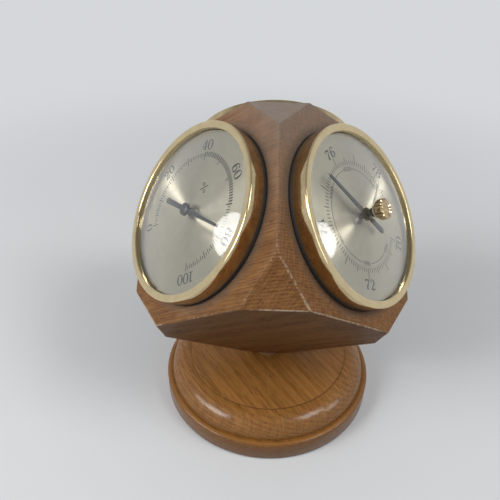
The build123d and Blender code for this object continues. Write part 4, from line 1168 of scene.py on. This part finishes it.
class WEATHER_OT_lenses(bpy.types.Operator):
    """Turn the three domed lenses"""
    bl_idname = "weather.lenses"
    bl_label = "Lenses"

    def execute(self, context):
        sizes = context.scene.weather_dial
        dome = sizes.bezel_radius - sizes.rim_width - sizes.lens_gap
        sphere = (dome ** 2 + sizes.lens_rise ** 2) / (2 * sizes.lens_rise)
        sweep = math.degrees(math.asin(dome / sphere))
        upper_edge = sizes.lens_underside + sizes.lens_thickness
        for name, azimuth in INSTRUMENTS.items():
            hole = sizes.lens_hole if name == "barometer" else 0.0
            start = math.degrees(math.asin(hole / sphere))
            bm = bmesh.new()
            rings = []
            for edge in (sizes.lens_underside, upper_edge):
                middle = (0.0, edge + sizes.lens_rise - sphere)
                rings.append(arc((dome, edge), middle, start - sweep, 18))
            lower, upper = rings
            if not hole:
                lower[-1], upper[-1] = (0.0, lower[-1][1]), (0.0, upper[-1][1])
            flange = [(sizes.dial_radius, upper_edge), (sizes.dial_radius, sizes.lens_underside)]
            lathe(bm, upper[::-1] + flange + lower, 160, closed=bool(hole))
            move(bm, face_matrix(azimuth, context.scene.weather_block))
            finish_piece(name + "_domed_lens", bm, "head", "domed_acrylic", name + "_lens")
        return {"FINISHED"}


class WEATHER_OT_works(bpy.types.Operator):
    """Dress the works inside the cases"""
    bl_idname = "weather.works"
    bl_label = "Inner works"

    def execute(self, context):
        finishes = {"case": "plated_case", "screws": "plain_steel", "bridge": "plain_brass", "coil": "satin_gilt",
                    "arbor": "plain_steel", "base_plate": "plain_brass", "frame": "plain_brass",
                    "capsule": "nickel_sheet", "diaphragm": "nickel_sheet", "rocking_shaft": "plain_steel",
                    "sector": "plain_brass", "pinion_arbor": "plain_brass", "hairspring": "plain_steel"}
        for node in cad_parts:
            instrument, _, piece = node.partition("_")
            if instrument in INSTRUMENTS and piece in finishes:
                dress(node, finishes[piece])
        dress("pivot_bolt", "plain_steel")
        dress("threaded_insert", "plain_brass")
        return {"FINISHED"}


class WEATHER_OT_stage(bpy.types.Operator):
    """Set the floor, the lamps and the camera"""
    bl_idname = "weather.stage"
    bl_label = "Stage"

    def floor(self, context):
        """A plain floor whose tone evens out away from the foot."""
        bm = bmesh.new()
        bmesh.ops.create_grid(bm, x_segments=2, y_segments=2, size=4.0)
        mesh = bpy.data.meshes.new("plain_floor")
        bm.to_mesh(mesh)
        bm.free()
        wiring, surface = start_material("floor_paper")
        tone = context.scene.weather_finish.floor
        grain = wiring.noise(wiring.here(), 60.0, 2.0, 0.5)
        base = wiring.mix(grain, tone, [part * 0.985 for part in tone])
        wiring.fill(surface, {"Base Color": base, "Roughness": 0.85})
        path = wiring.node("ShaderNodeLightPath")
        dull = wiring.node("ShaderNodeBsdfDiffuse", {"Color": (0.06, 0.065, 0.07, 1.0)})
        both = wiring.blend(path.outputs["Is Diffuse Ray"], surface, dull)
        away = wiring.remap(wiring.vector("LENGTH", wiring.here()), 0.12, 0.50, smooth=True)
        even = wiring.node("ShaderNodeEmission", {"Color": (0.665, 0.683, 0.70, 1.0), "Strength": 1.0})
        wiring.show(wiring.blend(wiring.math("MULTIPLY", wiring.seen(path), away), both, even))
        mesh.materials.append(material_named("floor_paper"))
        floor = bpy.data.objects.new("plain_floor", mesh)
        context.scene.collection.objects.link(floor)

    def lamp(self, context, name, bearing, rise, distance, glow, shape, size):
        """A lamp that looks at the block; its glow is the brightness of its face."""
        aim = Vector((0.0, 0.0, context.scene.weather_block.centre_height))
        level = math.cos(rise)
        way = Vector((math.sin(bearing) * level, -math.cos(bearing) * level, math.sin(rise)))
        light = bpy.data.lights.new(name, "AREA")
        area = size ** 2 if shape == "SQUARE" else math.pi * size ** 2 / 4
        light.energy = glow * math.pi * area
        light.shape = shape
        light.size = size
        lamp = bpy.data.objects.new(name, light)
        lamp.location = aim + way * distance
        lamp.rotation_euler = (-way).to_track_quat("-Z", "Y").to_euler()
        lamp.visible_camera = False
        context.scene.collection.objects.link(lamp)
        return lamp

    def share(self, name, lamps, pieces, state):
        """Keeps lamps off some pieces, or on them alone."""
        receivers = bpy.data.collections.new(name)
        for piece in pieces:
            receivers.objects.link(bpy.data.objects[piece])
        for entry in receivers.collection_objects:
            entry.light_linking.link_state = state
        for lamp in lamps:
            lamp.light_linking.receiver_collection = receivers

    def room(self, context, stage):
        """Soft light from all round, with pale walls and a dimmer ceiling in reflections."""
        world = bpy.data.worlds.new("plain_room")
        world.use_nodes = True
        wiring = Wiring(world.node_tree)
        shade = world.node_tree.nodes["Background"]
        path = wiring.node("ShaderNodeLightPath")
        seen = wiring.seen(path)
        around = wiring.node("ShaderNodeTexCoord").outputs["Generated"]
        height = wiring.split(around)[2]
        walls = wiring.remap(height, 0.25, 0.85, stage.room_shine, stage.room_light, smooth=True)
        strength = wiring.node("ShaderNodeMix", {0: seen, 2: stage.room_light, 3: walls}, data_type="FLOAT").outputs[0]
        shade.inputs["Color"].default_value = (0.95, 0.975, 1.0, 1.0)
        wiring.plug(shade.inputs["Strength"], strength)
        context.scene.world = world

    def execute(self, context):
        stage = context.scene.weather_stage
        self.floor(context)

        def disc(name, bearing, rise, glow, radius):
            """A round lamp at the side or behind."""
            return self.lamp(context, name, bearing, rise, stage.lamp_distance, glow, "DISK", 2 * radius)

        def key(name, bearing, rise, share):
            """A square lamp in front, one metre away."""
            way = math.radians(bearing), math.radians(rise)
            return self.lamp(context, name, *way, 1.0, stage.key_glow * share, "SQUARE", stage.key_size)
        sides = [disc("left_lamp", -stage.left_bearing, stage.left_rise, stage.side_glow, stage.left_radius),
                 disc("right_lamp", stage.right_bearing, stage.right_rise, stage.side_glow, stage.right_radius)]
        keys = [key("left_key", -57.0, 34.0, 1.0), key("right_key", 60.0, 48.0, 0.70)]
        back = []
        glow, radius = stage.back_glow, stage.back_radius
        for name, side in (("left", -1.0), ("right", 1.0)):
            back.append(disc("back_" + name, side * stage.back_bearing, stage.back_rise, glow, radius))
            back.append(disc("low_back_" + name, side * stage.low_bearing, stage.low_rise, glow, radius))
        dials = [name + "_brushed_dial" for name in ("hygrometer", "barometer")]
        lenses = [name + "_domed_lens" for name in INSTRUMENTS]
        self.share("dials_left_out", sides, dials, "EXCLUDE")
        self.share("dials_and_lenses_left_out", keys, dials + lenses, "EXCLUDE")
        self.share("dials_alone", back, dials, "INCLUDE")
        self.room(context, stage)
        context.scene.view_settings.view_transform = "Standard"
        self.camera(context, stage)
        return {"FINISHED"}

    def camera(self, context, stage):
        """The camera at the viewing angle, in the part's own frame."""
        data = bpy.data.cameras.new("camera")
        data.sensor_width = 36.0
        data.lens = stage.lens
        data.clip_start = 0.01
        data.clip_end = 20.0
        yaw, pitch, roll = stage.camera_yaw, stage.camera_pitch, stage.camera_roll
        ahead = Vector((math.sin(yaw) * math.cos(pitch), math.cos(yaw) * math.cos(pitch), -math.sin(pitch)))
        level = Vector((math.cos(yaw), -math.sin(yaw), 0.0))
        above = level.cross(ahead)
        right = level * math.cos(roll) + above * math.sin(roll)
        up = above * math.cos(roll) - level * math.sin(roll)
        matrix = Matrix((right, up, -ahead)).transposed().to_4x4()
        matrix.translation = (stage.camera_x, stage.camera_y, stage.camera_z)
        camera = bpy.data.objects.new("camera", data)
        camera.matrix_world = matrix
        context.scene.collection.objects.link(camera)
        context.scene.camera = camera


OPERATORS = (WEATHER_OT_finishes, WEATHER_OT_head_block, WEATHER_OT_foot, WEATHER_OT_bezels, WEATHER_OT_dials,
             WEATHER_OT_pointers, WEATHER_OT_set_hand, WEATHER_OT_lenses, WEATHER_OT_works, WEATHER_OT_stage)
SETTINGS = {"weather_block": BlockSizes, "weather_dial": DialSizes, "weather_hand": HandSizes,
            "weather_finish": Finishes, "weather_stage": StageSizes}


class WEATHER_PT_sidebar(bpy.types.Panel):
    """Buttons for the pieces, with their sizes and colours"""
    bl_idname = "WEATHER_PT_sidebar"
    bl_label = "Table weather station"
    bl_space_type = "VIEW_3D"
    bl_region_type = "UI"
    bl_category = "Weather station"

    def draw(self, context):
        column = self.layout.column(align=True)
        for operator in OPERATORS:
            column.operator(operator.bl_idname)
        for name in SETTINGS:
            box = self.layout.box()
            group = getattr(context.scene, name)
            for setting in group.bl_rna.properties:
                if setting.identifier not in {"rna_type", "name"}:
                    box.prop(group, setting.identifier)


def register():
    for kind in (*SETTINGS.values(), *OPERATORS, WEATHER_PT_sidebar):
        bpy.utils.register_class(kind)
    for name, kind in SETTINGS.items():
        setattr(bpy.types.Scene, name, PointerProperty(type=kind))


def unregister():
    for name in SETTINGS:
        delattr(bpy.types.Scene, name)
    for kind in reversed((*SETTINGS.values(), *OPERATORS, WEATHER_PT_sidebar)):
        bpy.utils.unregister_class(kind)


def main():
    register()
    for operator in OPERATORS:
        family, action = operator.bl_idname.split(".")
        getattr(getattr(bpy.ops, family), action)()


if __name__ == "__main__":
    main()
